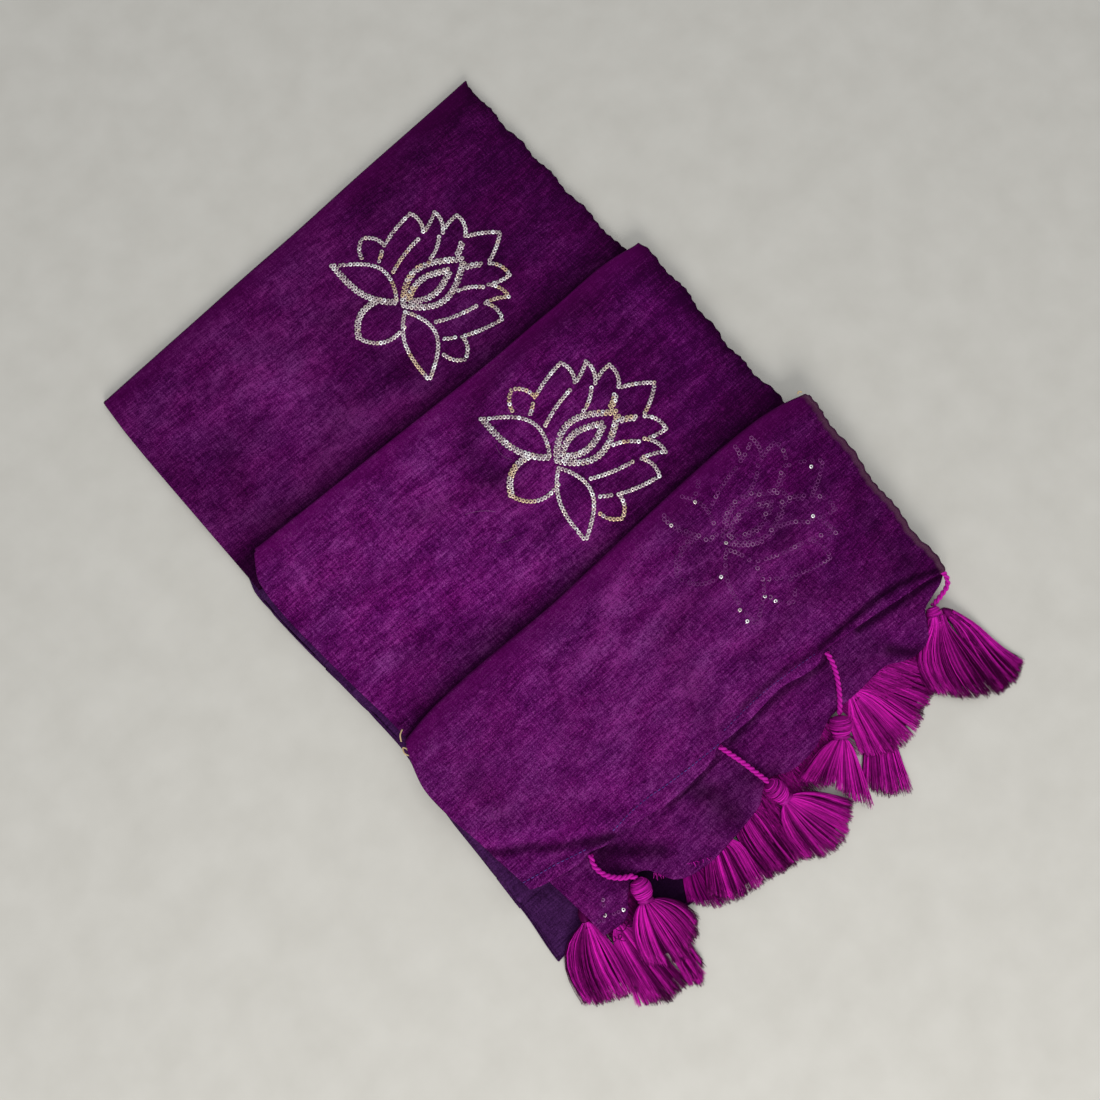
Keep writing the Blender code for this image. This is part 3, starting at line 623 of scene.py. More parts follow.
palluLook = {
    "fold": palluFold,
    "next": None,
    "top": palluTop,
    "foot": form["secondTop"] + form["seam"],
    "phase": 0.6,
    "shift": -20,
    "slack": 1.3,
    "sheer": True,
    "step": 1.5,
    "ridges": ((-150, -112, -92, -153, 7, 1.5),),
    "sides": (
        (-172, -147, 150.5), (-160, -148.5, 154), (-140, -151, 155.6), (-120, -153, 157.2),
        (-103, -155.5, 159.3), (-77, -157, 162.8), (-60, -153.5, 164.8), (-44.5, -148, 166.5),
    ),
    "hem": (
        (-150, -151), (-142, -154.3), (-131, -157), (-119, -159.3), (-110, -158.8), (-100, -162),
        (-85, -163.4), (-70, -166), (-58, -168), (-40, -168.4), (-26, -167.6), (-16, -163.6),
        (-8, -164.2), (9, -164.8), (30, -163.4), (39, -164.5), (48, -167), (59, -168), (66, -164.8),
        (80, -166), (92, -167.6), (108, -170), (126.5, -173.1), (138, -174.6), (151, -178),
    ),
    "creases": (
        (-152, -121, -96, -158, 3, -0.9), (-150, -128, -100, -163, 3.5, 0.5),
        (-60, -150, 10, -157, 4, -0.35), (60, -140, 140, -158, 6, 0.45), (20, -150, 90, -150, 5, -0.4),
        (-120, -80, -20, -70, 10, 0.35), (10, -80, 120, -95, 12, 0.35), (-90, -120, 0, -110, 10, -0.35),
        (70, -60, 95, -130, 12, 0.3), (-30, -60, -50, -130, 13, 0.25), (100, -120, 150, -135, 6, 0.35),
        (-140, -100, -100, -135, 8, 0.3),
    ),
    "lines": (
        (((-156, -119), (-144, -127.5), (-132, -134.5), (-125, -142), (-116, -148), (-105, -154),
          (-95, -159)), 2.6, 0.75, -0.7),
        (((-150, -113), (-130, -127), (-112, -141), (-98, -150)), 7, -0.3, 0),
        (((153, -177), (137, -169.5), (126.6, -166.2), (114, -163.7), (103, -162.6), (92.6, -162.3),
          (82, -161.9), (66, -161.8)), 2.2, 1.05, -0.9),
        (((62, -161.2), (52, -159.4), (43.5, -157.7), (33.5, -157.2), (9, -156.7)), 2, 0.65, -0.5),
        (((10, -163), (30, -161.6), (48, -165), (60, -166)), 1.6, -0.3, 0.2),
        (((-109, -156), (-96, -161), (-86, -165)), 2.2, 0.7, -0.4),
        (((143, -110), (137, -140), (141, -160)), 7, 0.3, 0),
        (((60, -95), (95, -100), (130, -92)), 9, 0.25, 0),
        (((88, -124), (62, -138), (30, -140)), 7, 0.28, 0),
        (((59, -48), (48, -85), (4, -100), (-10, -147)), 11, 0.26, -0.2),
        (((102, -78), (95, -103)), 7, 0.24, -0.2),
        (((87, -138), (100, -150), (138, -163)), 9, 0.3, -0.2),
        (((-71, -56), (-92, -97)), 11, -0.18, 0.2),
        (((-78, -131), (-72, -158)), 9, -0.22, 0.2),
        (((-132, -84), (-133, -118)), 8, 0.26, -0.2),
        (((152, -50), (150, -105), (146, -150)), 24, 0.18, 0),
    ),
}
hemLook = {
    "width": 7.0,
    "thickness": 0.55,
    "stitch": 1.6,
    "gap": 1.0,
    "runs": (      # radius of the thread, points along the run
        (0.22, ((-148.5, -146.3), (-136, -149.3), (-128, -151.1), (-120.6, -153.3), (-111, -156))),
        (0.22, ((-95, -158.7), (-88.7, -158.4), (-79.6, -157.7), (-66, -158.2), (-53.7, -160),
                (-38, -161.6), (-17, -163.0))),
        (0.132, ((-8, -159.5), (20, -158.6), (46, -160.6), (62, -162.6))),
    ),
}


def palluRelief(x, y):
    near = y - readCurve(palluLook["hem"], x)
    band = hemLook["thickness"] * (1 - smoothStep(near, hemLook["width"] - 0.5, hemLook["width"] + 1.0))
    return relief(palluLook, x, y) + creaseLift(palluLook["ridges"], x, y, (-0.3, 0.1, 0.8, 1.25)) + band


def palluSurface(x, y):
    z = palluTop(y)
    return z + rippleAt(x, y, z) + palluRelief(x, y) + lineShadeAndLift(palluLook["lines"], x, y)[1]


def makePallu():
    rows, marks = stretchRows(palluLook, lambda x: readCurve(palluLook["hem"], x),
                              lambda x, y, share: palluRelief(x, y), palluLook["step"])
    piece = clothPiece("palluTop", "pallu_stretch", rows, palluCloth, marks)
    stitches = Bundle()
    for radius, run in hemLook["runs"]:
        x = run[0][0]
        while x < run[-1][0]:
            line = []
            for share, rise in ((0, 0.05), (0.5, 0.30), (1, 0.05)):
                at = x + hemLook["stitch"] * share
                y = readCurve(run, at)
                line.append(Vector((at, y, palluSurface(at, y) + rise)))
            stitches.tube(line, radius, 5, chance.random())
            x += hemLook["stitch"] + hemLook["gap"]
    hem = stitches.piece("hemStitches", stitchThread)
    cutSize(rows)


def plyRows(edge, startY, startSides, height, step):
    columns = int((edge[-1][0] - edge[0][0]) / step)
    rowCount = int(abs(startY(0) - edge[len(edge) // 2][1]) / step) + 2
    rows = []
    for i in range(rowCount):
        share = i / (rowCount - 1)
        row = []
        for j in range(columns + 1):
            across = j / columns
            edgeX = mix(edge[0][0], edge[-1][0], across)
            x = mix(edgeX, mix(*startSides, across), smoothStep(share, 0, 1))
            y = mix(readCurve(edge, edgeX), startY(x), share)
            row.append((x, y, height(x, y)))
        rows.append(row)
    return rows


lowerLook = {
    "edge": (
        (-134, -198), (-118, -199), (-108, -189), (-100, -185), (-92, -188), (-84, -202), (-65, -208),
        (-42, -207), (-30, -205.5), (-20, -203.5), (-15, -200), (-8, -196), (-1, -198.5), (5, -201.5),
        (18, -202.5), (28, -201), (35, -198), (44, -195), (66, -195), (88, -195), (98, -200),
        (106, -202.5), (114, -202), (119, -199.5), (124, -193), (128, -187), (138, -184), (146, -182),
        (151.4, -179.2),
    ),
    "start": -113,
    "startSides": (-141, 151.5),
    "step": 1.4,
    "humps": (
        (119, -185, 1.3, 10), (86, -187, 1.1, 11), (62, -189, 0.8, 10), (-28, -191, 0.9, 11),
        (-52, -196, 0.7, 10), (-124, -181, 1, 12),
    ),
    "creases": (
        (-20, -168, 40, -190, 6, 0.6), (80, -168, 120, -190, 5, -0.5), (-90, -168, -60, -200, 7, -0.6),
        (-80, -175, -20, -176, 4, 0.45), (30, -172, 100, -176, 4, 0.5), (-135, -165, -120, -192, 5, 0.5),
        (-105, -163, -85, -195, 4, 0.7), (100, -180, 140, -178, 4, 0.4), (0, -180, 60, -186, 3.5, -0.4),
        (-60, -185, -30, -195, 4, 0.5),
    ),
    "lines": (
        (((150, -179.5), (138, -176.3), (126.5, -175), (117, -173.3), (108, -171.8), (100, -170.5),
          (90, -168.9)), 2.2, 1.1, -0.6),
        (((66, -168.6), (60, -170), (48, -169), (39, -166.5), (20, -165.5), (-8, -166.6)), 2.2, 0.75, 0),
        (((-40, -176), (-37, -188), (-35, -200)), 8, 0.5, 0),
        (((60, -176), (76, -182), (90, -184)), 7, 0.3, 0),
        (((-20, -168.6), (-30, -170), (-45, -170.4), (-60, -170)), 1.4, 0.8, 0),
        (((-104, -162), (-99, -166), (-89, -176), (-79, -185)), 5, 0.8, -0.8),
        (((-108, -168), (-104, -178), (-103, -190)), 6, 0.7, -0.4),
        (((97, -190), (102, -196), (108, -202)), 4, 0.85, -0.8),
        (((104, -184), (110, -192)), 5, -0.3, 0.5),
        (((30, -176), (44, -186), (54, -196)), 5, -0.25, 0.3),
        (((-44, -176), (-20, -186), (0, -194)), 6, 0.35, -0.3),
        (((-12, -170), (-15, -194), (-46, -195)), 8, 0.28, 0),
    ),
}


def humpLift(x, y):  # of the ply below the hem, over what lies under it
    return sum(height * exp(-((x - hx) ** 2 + (y - hy) ** 2) / radius ** 2)
               for hx, hy, height, radius in lowerLook["humps"])


def lowerHeight(x, y):
    z, hem, look = lowerTop(y), form["hemLine"], lowerLook
    lift = humpLift(x, y)
    if y < hem + 2:
        marks = creaseLift(look["creases"], x, y) + slackLift(x, y, 2.0) + lineShadeAndLift(look["lines"], x, y)[1]
        lift += marks * smoothStep(-y, -hem - 2, -hem + 6)
    return z + lift + rippleAt(x, y, z)


def makeLowerPly():
    look = lowerLook
    rows = plyRows(look["edge"], lambda x: look["start"], look["startSides"], lowerHeight, look["step"])
    shade = [paint(lineShadeAndLift(look["lines"], x, y)[0]) for row in rows for x, y, _ in row]
    piece = clothPiece("lowerPly", "lower_pallu_ply", rows, lowerCloth, {"shade": shade})
    cutSize(rows)


bottomLook = {
    "edge": (
        (-162.5, -192), (-148, -191), (-134, -190), (-124, -193), (-114, -200), (-104, -207), (-92, -216),
        (-82, -217.5), (-74, -206), (-66, -196),
    ),
    "height": 0.75,
    "start": (-161.25, -0.030),       # where it comes out of the pile: y in the middle and skew
    "startSides": (-159.5, -62),
    "step": 1.6,
    "shade": (0.85, -128, -112),      # how dark it gets, and from where to where
    "rolls": ((0.0, 0.42), (1.5, 0.28)),      # rolled edge: how far in, radius
    "onward": (-158, -153, -147, -140),       # where the roll goes on along the pile's left side
}


def makeBottomPly():
    look = bottomLook
    startY, skew = look["start"]

    def height(x, y):
        return look["height"] + 0.18 * sin(x / 6 + y / 9)
    rows = plyRows(look["edge"], lambda x: startY + skew * x, look["startSides"], height, look["step"])
    rows.append([(x, y + 0.15, z) for x, y, z in rows[-1]])      # keeps the end's shading crisp
    dark, begin, full = look["shade"]
    shade = [dark * smoothStep(x, begin, full) for row in rows for x, y, _ in row]
    piece = clothPiece("bottomPly", "bottom_ply", rows, shadedCloth, {"shade": shade})
    roll = Bundle()
    onward = [(sidesAt(layersLook["sides"], y)[0] + 0.4, y + 4.6) for y in look["onward"]]
    for border in ([row[0] for row in rows] + onward, rows[0]):
        for inset, radius in look["rolls"]:
            line = [Vector((p[0] + inset, p[1] + inset * 0.4, 0.55 + radius)) for p in border]
            roll.tube(line, radius, 6, 0.3)
    hem = roll.piece("bottomPlyRolledEdge", shadedCloth, "shaded_cloth")
    cutSize(rows)


layersLook = {
    "sides": (
        (-163, -160.5, 153.5), (-124, -158.8, 156.5), (-95, -158, 160.5), (-66, -156, 164.5),
        (-43, -153, 156), (0, -155.5, 155.5), (47, -159, 158.5), (79, -159.5, 159.5), (92, -156.5, 150.5),
        (150, -156, 149.5), (246, -154, 150),
    ),
    "groove": 1.5,          # how far the cloth stands in between two layers
    "rounding": (11, 4),    # length over which the near and the far end are rounded
    "least": (0.19, 0.30, 0.30),      # height at the near end, as a share, of each block
    "lips": 4,              # layers that show in a block
    "rowStep": 3.0,
    "topColumns": 12,
    "skew": ((-163, -0.030), (-135, -0.008), (-111, 0.0), (-66, -0.006), (76, -0.020), (150, 0.025),
             (226, 0.062)),
    "rollRadius": 0.55,
    "rolls": (      # rolled edges at the left side: near end, far end, height, how far out, phase
        (-158, -60, 3.2, -1.4, 0.4), (-150, 20, 1.6, -1.0, 1.7), (-70, 60, 7.0, -2.4, 2.9),
        (-40, 76, 4.0, -1.4, 4.1), (10, 200, 2.4, -1.2, 5.0),
    ),
    "blocks": (      # bottom, top, near end, far end, inset of the sides
        (0.0, 4.0, -161.0, 240.0, 0.0), (4.4, 9.0, -158.0, 77.0, 1.4), (9.4, 14.6, -154.0, -66.0, 2.8),
    ),
}


def layerRing(index, y):  # outline of a block of layers at one place along the pile
    look = layersLook
    bottom, top, near, far, inset = look["blocks"][index]
    nearRound, farRound = look["rounding"]
    least = look["least"][index]
    rise = sqrt(1 - (1 - min(1.0, (y - near + 0.6) / nearRound)) ** 2)
    fall = sqrt(1 - (1 - min(1.0, (far - y + 0.6) / farRound)) ** 2)
    if index == 0:      # the lowest layers run out level with the bottom ply
        rise = smoothStep(y, near - 2, near + 22)
    limit = lowerTop(y) - form["wall"] - form["seam"] if y < -111 else palluTop(y) - 1.6
    high = mix(bottom, min(top, limit), min(1.0, (least + (1 - least) * rise) * (0.5 + 0.5 * fall)))
    left, right = sidesAt(layersLook["sides"], y)
    ring = []
    for side, outward in ((right, 1), (left, -1)):
        profile = []
        for k in range(look["lips"]):
            low, up = mix(bottom, high, k / look["lips"]), mix(bottom, high, (k + 1) / look["lips"])
            seed = index * 7.1 + k * 2.3 + (3.3 if outward < 0 else 0)
            wave = 0.55 * sin(y / 9.1 + seed) + 0.5 * sin(y / 21 + seed * 1.7)
            step = inset + (0.5 if outward > 0 else 0.0) + 1.1 + 0.9 * sin(seed * 3.1) + wave
            lip = side - outward * max(0.0, step)
            for back, share in ((look["groove"], 0.0), (0.25, 0.18), (0.0, 0.5), (0.25, 0.82)):
                profile.append((lip - outward * back, mix(low, up, share)))
        profile.append((profile[-1][0] - outward * look["groove"], high))
        ring += profile[::outward]
        if outward > 0:
            count = look["topColumns"]
            ring += [(mix(right - 4, left + 4, (k + 1) / (count + 1)), high) for k in range(count)]
    skew = readCurve(look["skew"], y)
    return [(x, y + skew * x, max(0.0, z + rippleAt(x, y, z))) for x, z in ring]


def makeHiddenLayers():
    look = layersLook
    points, faces = [], []
    for index, (_, _, near, far, _) in enumerate(look["blocks"]):
        count = int((far - near) / look["rowStep"])
        rings = [layerRing(index, mix(near, far, i / count)) for i in range(count + 1)]
        size = len(rings[0])
        faces += ringFaces(len(rings), size, len(points))
        for ring in rings:
            points += ring
        for ring, turned in ((rings[0], -1), (rings[-1], 1)):      # ends with a crisp edge
            faces.append(tuple(range(len(points), len(points) + size))[::turned])
            points += ring
    rolled = Bundle()
    rolled.add(points, faces, 0.5)
    for near, far, z, out, phase in look["rolls"]:
        line = []
        for i in range(int((far - near) / 2.5) + 1):
            y = near + 2.5 * i
            wave = 0.15 * sin(y / 6.3 + phase) + 0.35 * sin(y / 19 + 2 * phase)
            x = sidesAt(layersLook["sides"], y)[0] - out + wave
            line.append(Vector((x, y, z + 0.4 * sin(y / 18 + phase))))
        rolled.tube(line, look["rollRadius"], 5)
    makePiece("hiddenLayers", rolled.points, rolled.faces, shadedCloth, {}, "inner_folds")


# Tassels. Headings of the skirt's left and right border and their curl are in degrees. spread is how far
# the threads start behind the root, and how far they spread past the right and the left border. valleys
# are where a skirt parts or lies in shade: place across it, half width, depth.
Tassel = namedtuple("Tassel", "name top root radius halfWidth halfHeight left right curl reach tip "
                              "tipHalf threads spread valleys")
tassels = [Tassel(*row) for row in (
    ("tassel_1", (133.6, -188.6, 6.9), (127.5, -201.5, 6.6), 5.4, 5.5, 2.4, -93, -136, (0, -44),
     (47, 44, 38), 5.4, 1.3, 720, (8, 1, 4), ((0, 0.22, 0.3), (0.55, 0.03, 0.15))),
    ("tassel_2", (48, -197.6, 10.2), (40.5, -208, 7.6), 6.0, 4.8, 2.3, -112, -177, (0, 0),
     (43, 29, 34), 7.1, 1.3, 680, (0.5, 1.5, 4.5), ((0.72, 0.03, 0.25), (0.3, 0.05, 0.2))),
    ("tassel_3", (-8.6, -197.8, 10.2), (-6.8, -212.6, 6.8), 5.6, 5.0, 2.4, -47, -110, (10, -10),
     (37, 40, 34), 2.1, 1.5, 780, (0.5, 2.5, 4), ((0.82, 0.04, 0.3), (0.45, 0.03, 0.15), (0, 0.08, 0.1))),
    ("tassel_4", (-99.8, -187.4, 11), (-104.2, -200.2, 9.6), 5.8, 5.0, 2.2, -66, -128, (26, -26),
     (28, 38, 33), 6.6, 1.3, 760, (0.5, 2, 1), ((0.67, 0.03, 0.3), (0, 0.14, 0.2), (0.36, 0.02, 0.12))),
    ("under_tassel_1", (137.6, -193.8, 4.5), (143.4, -212, 2.5), 3.4, 4.2, 1.6, -82, -109, (-8, 0),
     (40, 42, 41), 1.7, 1.1, 620, (14, 1, 7), ((1, 0.3, 0.34), (0.45, 0.06, 0.2), (0, 0.06, 0.15))),
    ("under_tassel_2", (86, -185.5, 4.1), (89, -197, 3), 3.4, 11.5, 1.9, -49, -70, (7, 2),
     (29, 33, 32), 1.7, 1.2, 760, (7, 1, 3), ((0.7, 0.05, 0.3), (0.28, 0.03, 0.18))),
    ("under_tassel_3", (63, -187, 4.9), (64, -198.5, 4.6), 3.2, 9.4, 1.7, -67, -119, (0, 0),
     (37, 38, 26), 3.9, 1.0, 680, (7, 2.5, 1.5), ((0, 0.06, 0.3), (0.55, 0.03, 0.2))),
    ("under_tassel_4", (73.5, -201.5, 1.3), (69, -208.5, 1.4), 0.9, 5.0, 0.8, -115, -138, (0, 0),
     (52, 53, 46), 1.4, 0.8, 460, (5, 0.5, 0.5), ()),
    ("under_tassel_5", (-28, -190, 4.9), (-28.5, -203, 3.6), 3.8, 10.5, 2.2, -92, -100, (0, -8),
     (39, 40, 37), 2.1, 1.5, 720, (7, 4.5, 2), ((0, 0.1, 0.3), (0.42, 0.04, 0.25), (0.78, 0.03, 0.22))),
    ("under_tassel_6", (-50.5, -193, 5.2), (-53, -205, 5.2), 2.1, 9.0, 1.4, -93, -130, (0, 0),
     (31, 32, 23), 4.9, 1.1, 520, (7, 2.5, 1), ((0.3, 0.06, 0.28), (0.75, 0.04, 0.22))),
    ("under_tassel_7", (-69, -194, 2.6), (-71.5, -204, 2.6), 0.9, 5.5, 0.8, -80, -128, (0, -10),
     (31, 26, 18), 2.4, 0.8, 300, (5, 1, 1), ()),
    ("under_tassel_8", (-133, -178, 5), (-138.5, -189, 5), 3.2, 5.5, 1.9, -97, -128, (6, -40),
     (42, 42, 44), 4.6, 1.3, 760, (3.4, 0.5, 3.5),
     ((0.6, 0.06, 0.3), (0.32, 0.02, 0.22), (0.12, 0.03, 0.2))),
    ("under_tassel_9", (-121, -190.5, 2.9), (-125.5, -202.5, 2), 1.5, 5.5, 1.0, -84, -110, (0, 0),
     (46, 47, 42), 1.6, 0.9, 560, (7, 2.5, 1.5), ((0, 0.12, 0.25), (0.5, 0.03, 0.2))),
    ("under_tassel_10", (-100.5, -195, 3.2), (-103, -206.5, 2.8), 1.5, 4.0, 1.1, -94, -102, (0, 0),
     (38, 49, 46), 1.7, 0.9, 480, (7, 1, 1.5), ((0.55, 0.05, 0.2),)),
)]
# Short threads of the tassels underneath, along the edge of the ply: who has them, the run of their
# roots, headings, reach, heights at the two ends, how many, brightness (mostly kept low, as painted shade
# under the ply's edge)
matThreads = (
    ("tassel_2", (45, -193), (-30, -197), (-110, -76), (14, 29), (5.2, 2.8), 900, (0.10, 0.55)),
    ("tassel_1", (100, -192), (127, -186), (-112, -66), (14, 24), (5.4, 3.0), 260, (0.10, 0.50)),
    ("under_tassel_1", (139.5, -199), (136.5, -203), (-106, -86), (16, 30), (4.4, 2.0), 140, (0.05, 0.45)),
    ("under_tassel_2", (99, -196), (74, -192), (-66, -52), (12, 24), (5.2, 3.6), 420, (0.15, 0.75)),
    ("under_tassel_3", (76, -192), (50, -191), (-84, -62), (10, 20), (5.6, 4.4), 380, (0.15, 0.75)),
    ("under_tassel_9", (-133, -189), (-121, -191), (-112, -76), (9, 16), (3.0, 1.4), 200, (0.0, 0.35)),
    ("under_tassel_9", (-122, -187), (-107, -184), (-104, -78), (14, 25), (3.2, 1.4), 220, (0.05, 0.45)),
    ("under_tassel_6", (-91, -191), (-60, -206.5), (-125, -55), (2, 5), (8.3, 7.8), 120, (0.45, 0.95)),
)
skirtLook = {
    "rings": 6,
    "threadRadius": 0.15,
    "strandWidth": 1.15,   # room that a strand of threads takes up at the ends, in millimetres
    "strandSpread": 0.46,
    "layers": (            # from below: levels, brightness (painted shade on the lower layers), how far the threads reach
        (-0.9, -0.2, 0.12, 0.97, 1.02), (-0.3, 0.4, 0.31, 0.95, 1.01), (0.3, 1.0, 0.54, 0.91, 0.99)),
    "locks": (7, 12),
    "gather": 0.10,
    "sway": 0.8,           # sideways wave of a strand, in millimetres
    "strays": 0.05,        # share of threads that stand off
    "strandTone": (-0.30, 0.26),
    "threadTone": 0.20,
    "levelSpread": 0.12,
    "frizz": 0.35,         # how far the cut ends stray, in millimetres
    "brighter": {"tassel_1": -0.02, "tassel_2": 0.08, "tassel_3": 0.12, "under_tassel_2": 0.06,
                 "under_tassel_5": -0.18},
    "deep": ("under_tassel_7",),      # in shade
}
headProfile = ((0.00, 0.38), (0.05, 0.62), (0.14, 0.84), (0.28, 0.97), (0.42, 1.00), (0.56, 0.93),
               (0.68, 0.80), (0.76, 0.70), (0.84, 0.66), (0.92, 0.68), (1.00, 0.74))
headLook = {
    "ribs": 40,
    "ribDepth": 0.035,
    "segments": 84,
    "bound": ("tassel_1", "tassel_2", "tassel_3", "tassel_4"),
    "neckWrap": (0.64, 0.86, 4, 0.42, 1.06),      # start, end, turns, thickness, how far out
    "wrap": (0.04, 0.66, 13, 0.34, 1.0),
    "wraps": {"tassel_2": (0.10, 0.60, 9, 0.24, 1.0)},      # a ball instead of a long head
    "out": {"tassel_1": 0.86, "tassel_2": 1.07},
    "neck": {"tassel_2": 0.55, "tassel_3": 0.8},
}


def headPoint(row, share, turn, side, up, out=1.0):
    width = readCurve(headProfile, share)
    flat = smoothStep(share, 0.75, 1.0)
    wide = mix(row.radius * width, row.halfWidth, flat * 0.6) * out
    tall = mix(row.radius * width, row.halfHeight, flat * 0.7) * out
    spot = Vector(row.top).lerp(Vector(row.root), share)
    spot = spot + side * (cos(turn) * wide) + up * (sin(turn) * tall)
    spot.z = max(0.3, spot.z)
    return spot


def makeHead(bundle, row, side, up):
    look = headLook
    segments, slim = look["segments"], look["out"].get(row.name, 1.0)
    bound = row.name in look["bound"]
    points = []
    for share, _ in headProfile:
        for k in range(segments):
            turn = tau * k / segments
            rib = 1 + look["ribDepth"] * cos(look["ribs"] * turn + 9 * share)
            points.append(headPoint(row, share, turn, side, up, rib * 0.97 * slim))
    faces = ringFaces(len(headProfile), segments) + [tuple(range(segments))[::-1]]
    # painted shade: the heads of the tassels underneath are darker, lying under the ply
    bundle.add(points, faces, 0.34 if bound else 0.10)
    if not bound:
        return
    # the neck's tight thread, and the thread that is wound round the head, slanting on a long head
    for start, end, turns, thickness, out in (look["neckWrap"], look["wraps"].get(row.name, look["wrap"])):
        steps = turns * 20
        line, tones = [], []
        for i in range(steps + 1):
            turn = tau * turns * i / steps
            share = mix(start, end, i / steps) + 0.055 * sin(turn + 0.6)
            line.append(headPoint(row, share, turn, side, up, out * slim))
            band = sin(0.47 * turn) + 0.6 * sin(0.19 * turn + 1.0)
            tones.append(0.50 + 0.22 * band + 0.15 * sin(2.3 * turn))
        bundle.tube(line, thickness, 5, tones)


def skirtHeight(row, share, level):
    drop = smoothStep(share, 0, 1)
    return mix(row.root[2], row.tip, drop) + level * mix(row.halfHeight, row.tipHalf, drop)


def threadLine(row, side, up, u, level, reachShare, sway, phase, aside=0.0):
    # u is the place across the skirt, level the place from below to above, and aside how far a thread
    # keeps from the middle of its strand, in millimetres
    back, spreadRight, spreadLeft = row.spread
    top, root = Vector(row.top), Vector(row.root)
    heading = radians(mix(row.left, row.right, u))
    curl = radians(mix(*row.curl, u)) or 0.001
    off = Vector((-sin(heading), cos(heading), 0))
    reach = readCurve(((0, row.reach[0]), (0.5, row.reach[1]), (1, row.reach[2])), u) * reachShare
    across = 2 * u - 1
    start = root + side * (across * row.halfWidth * headLook["neck"].get(row.name, 1.0))
    rounded = sqrt(max(0.0, 1 - across ** 2))
    swell = (spreadLeft if across > 0 else spreadRight) * across * abs(across)
    if back > 3:       # over the head
        turn = atan2(max(0.25, level + 0.4), across)
        line = [headPoint(row, max(0.0, 1 - back * share / (top - root).length), turn, side, up, 1.06)
                for share in (1.0, 0.5)]
    else:
        line = [start + (top - root).normalized() * back + side * (across * row.halfWidth * -0.18)]
    for i in range(skirtLook["rings"] + 1):
        share = i / skirtLook["rings"]
        swing = sway * sin(phase + 3.1 * share) * share
        swing += aside * (0.6 - 0.3 * sin(pi * share) + 0.9 * share ** 3)
        turned = heading + curl - 2 * curl * share
        bend = Vector((sin(heading + curl) - sin(turned),
                       cos(turned) - cos(heading + curl), 0))
        spot = start + bend * (reach / (2 * curl)) + off * swing
        spot += side * (swell * sin(pi * min(1.0, 0.12 + share) ** 0.6))
        thin = mix(mix(0.35, 1.0, rounded), 1.0, share)
        spot.z = skirtHeight(row, share, level * thin)
        spot.z += 0.35 * sin(phase * 1.7 + 4.0 * share) * share * (1 - abs(level) * 0.6)
        spot.z = max(0.35, spot.z - 0.5 * abs(swell) * sin(pi * share))
        line.append(spot)
    for _ in range(2):
        inner = [(a + b * 2 + c) / 4 for a, b, c in zip(line, line[1:], line[2:])]
        line = [line[0], *inner, line[-1]]
    return line


def paintedThreadHighlight(count, tone, level):
    # painted highlight where a thread swells below the neck, stronger on higher threads, and darker towards
    # the tip
    shares = [i / (count - 1) for i in range(count)]
    return [tone + 0.22 * (0.4 + 0.6 * level) * sin(pi * share ** 0.6) - 0.10 * share
            for share in shares]


def addMat(bundle, start, end, headings, reaches, heights, count, tones):
    for _ in range(count):
        share = chance.random()
        x, y = mix(start[0], end[0], share), mix(start[1], end[1], share)
        heading = radians(chance.uniform(*headings))
        reach = chance.uniform(*reaches)
        wave = chance.random() * tau
        line = []
        for run in (0.0, 0.2, 0.4, 0.6, 0.8, 1.0):
            swing = 0.5 * sin(wave + 4 * run) * run
            line.append(Vector((x + cos(heading) * reach * run + swing,
                                y + sin(heading) * reach * run,
                                mix(*heights, run) + 0.5 * sin(wave))))
        bundle.tube(line, skirtLook["threadRadius"], 3, chance.uniform(*tones))


def makeLocks(count):
    # locks of uneven width: near border, far border, phase, brightness, reach
    widths = [chance.uniform(0.4, 1.7) for _ in range(count)]
    borders = [sum(widths[:i]) / sum(widths) for i in range(count + 1)]
    return [(near, far, chance.random() * tau, chance.uniform(-0.14, 0.14), chance.uniform(0.955, 1.0))
            for near, far in zip(borders, borders[1:])]


def addStrand(bundle, row, side, up, across, lock, layer, threads):
    look = skirtLook
    near, far, phase, lockTone, lockReach = lock
    low, high, bright, shortest, longest = layer
    middle = (near + far) / 2
    inLock = abs(across - middle) / max(0.01, far - near) * 2
    level = chance.uniform(low, high) - 0.30 * inLock ** 2
    tone = bright + look["brighter"].get(row.name, 0.0) + 1.3 * lockTone
    # painted shade at the sides of a lock
    tone += chance.uniform(*look["strandTone"]) - 0.10 * inLock ** 3
    for centre, halfWidth, depth in row.valleys:
        shade = depth * exp(-((across - centre) / halfWidth) ** 2)
        tone -= 1.3 * shade
        level -= shade
    reachShare = lockReach * chance.uniform(shortest, longest)
    phase += chance.uniform(-0.5, 0.5)
    sway = look["sway"] * chance.uniform(0.5, 1.4)
    for _ in range(threads):
        u, ownReach, ownSway = mix(across, middle, look["gather"]), chance.uniform(0.965, 1.015), sway
        if chance.random() < look["strays"]:
            u += chance.uniform(-0.06, 0.06)
            ownReach *= chance.uniform(0.86, 1.03)
            ownSway *= 2.0
        own = min(1.0, level + chance.uniform(-look["levelSpread"], look["levelSpread"]))
        line = threadLine(row, side, up, min(1.0, max(0.0, u)), own, reachShare * ownReach, ownSway, phase,
                          chance.gauss(0, look["strandSpread"]))
        line[-1] += Vector((chance.gauss(0, look["frizz"]), chance.gauss(0, look["frizz"]), 0))
        lit = tone + chance.uniform(-look["threadTone"], look["threadTone"])
        bundle.tube(line, look["threadRadius"], 3, paintedThreadHighlight(len(line), lit, own),
                    look["threadRadius"] * 0.7)


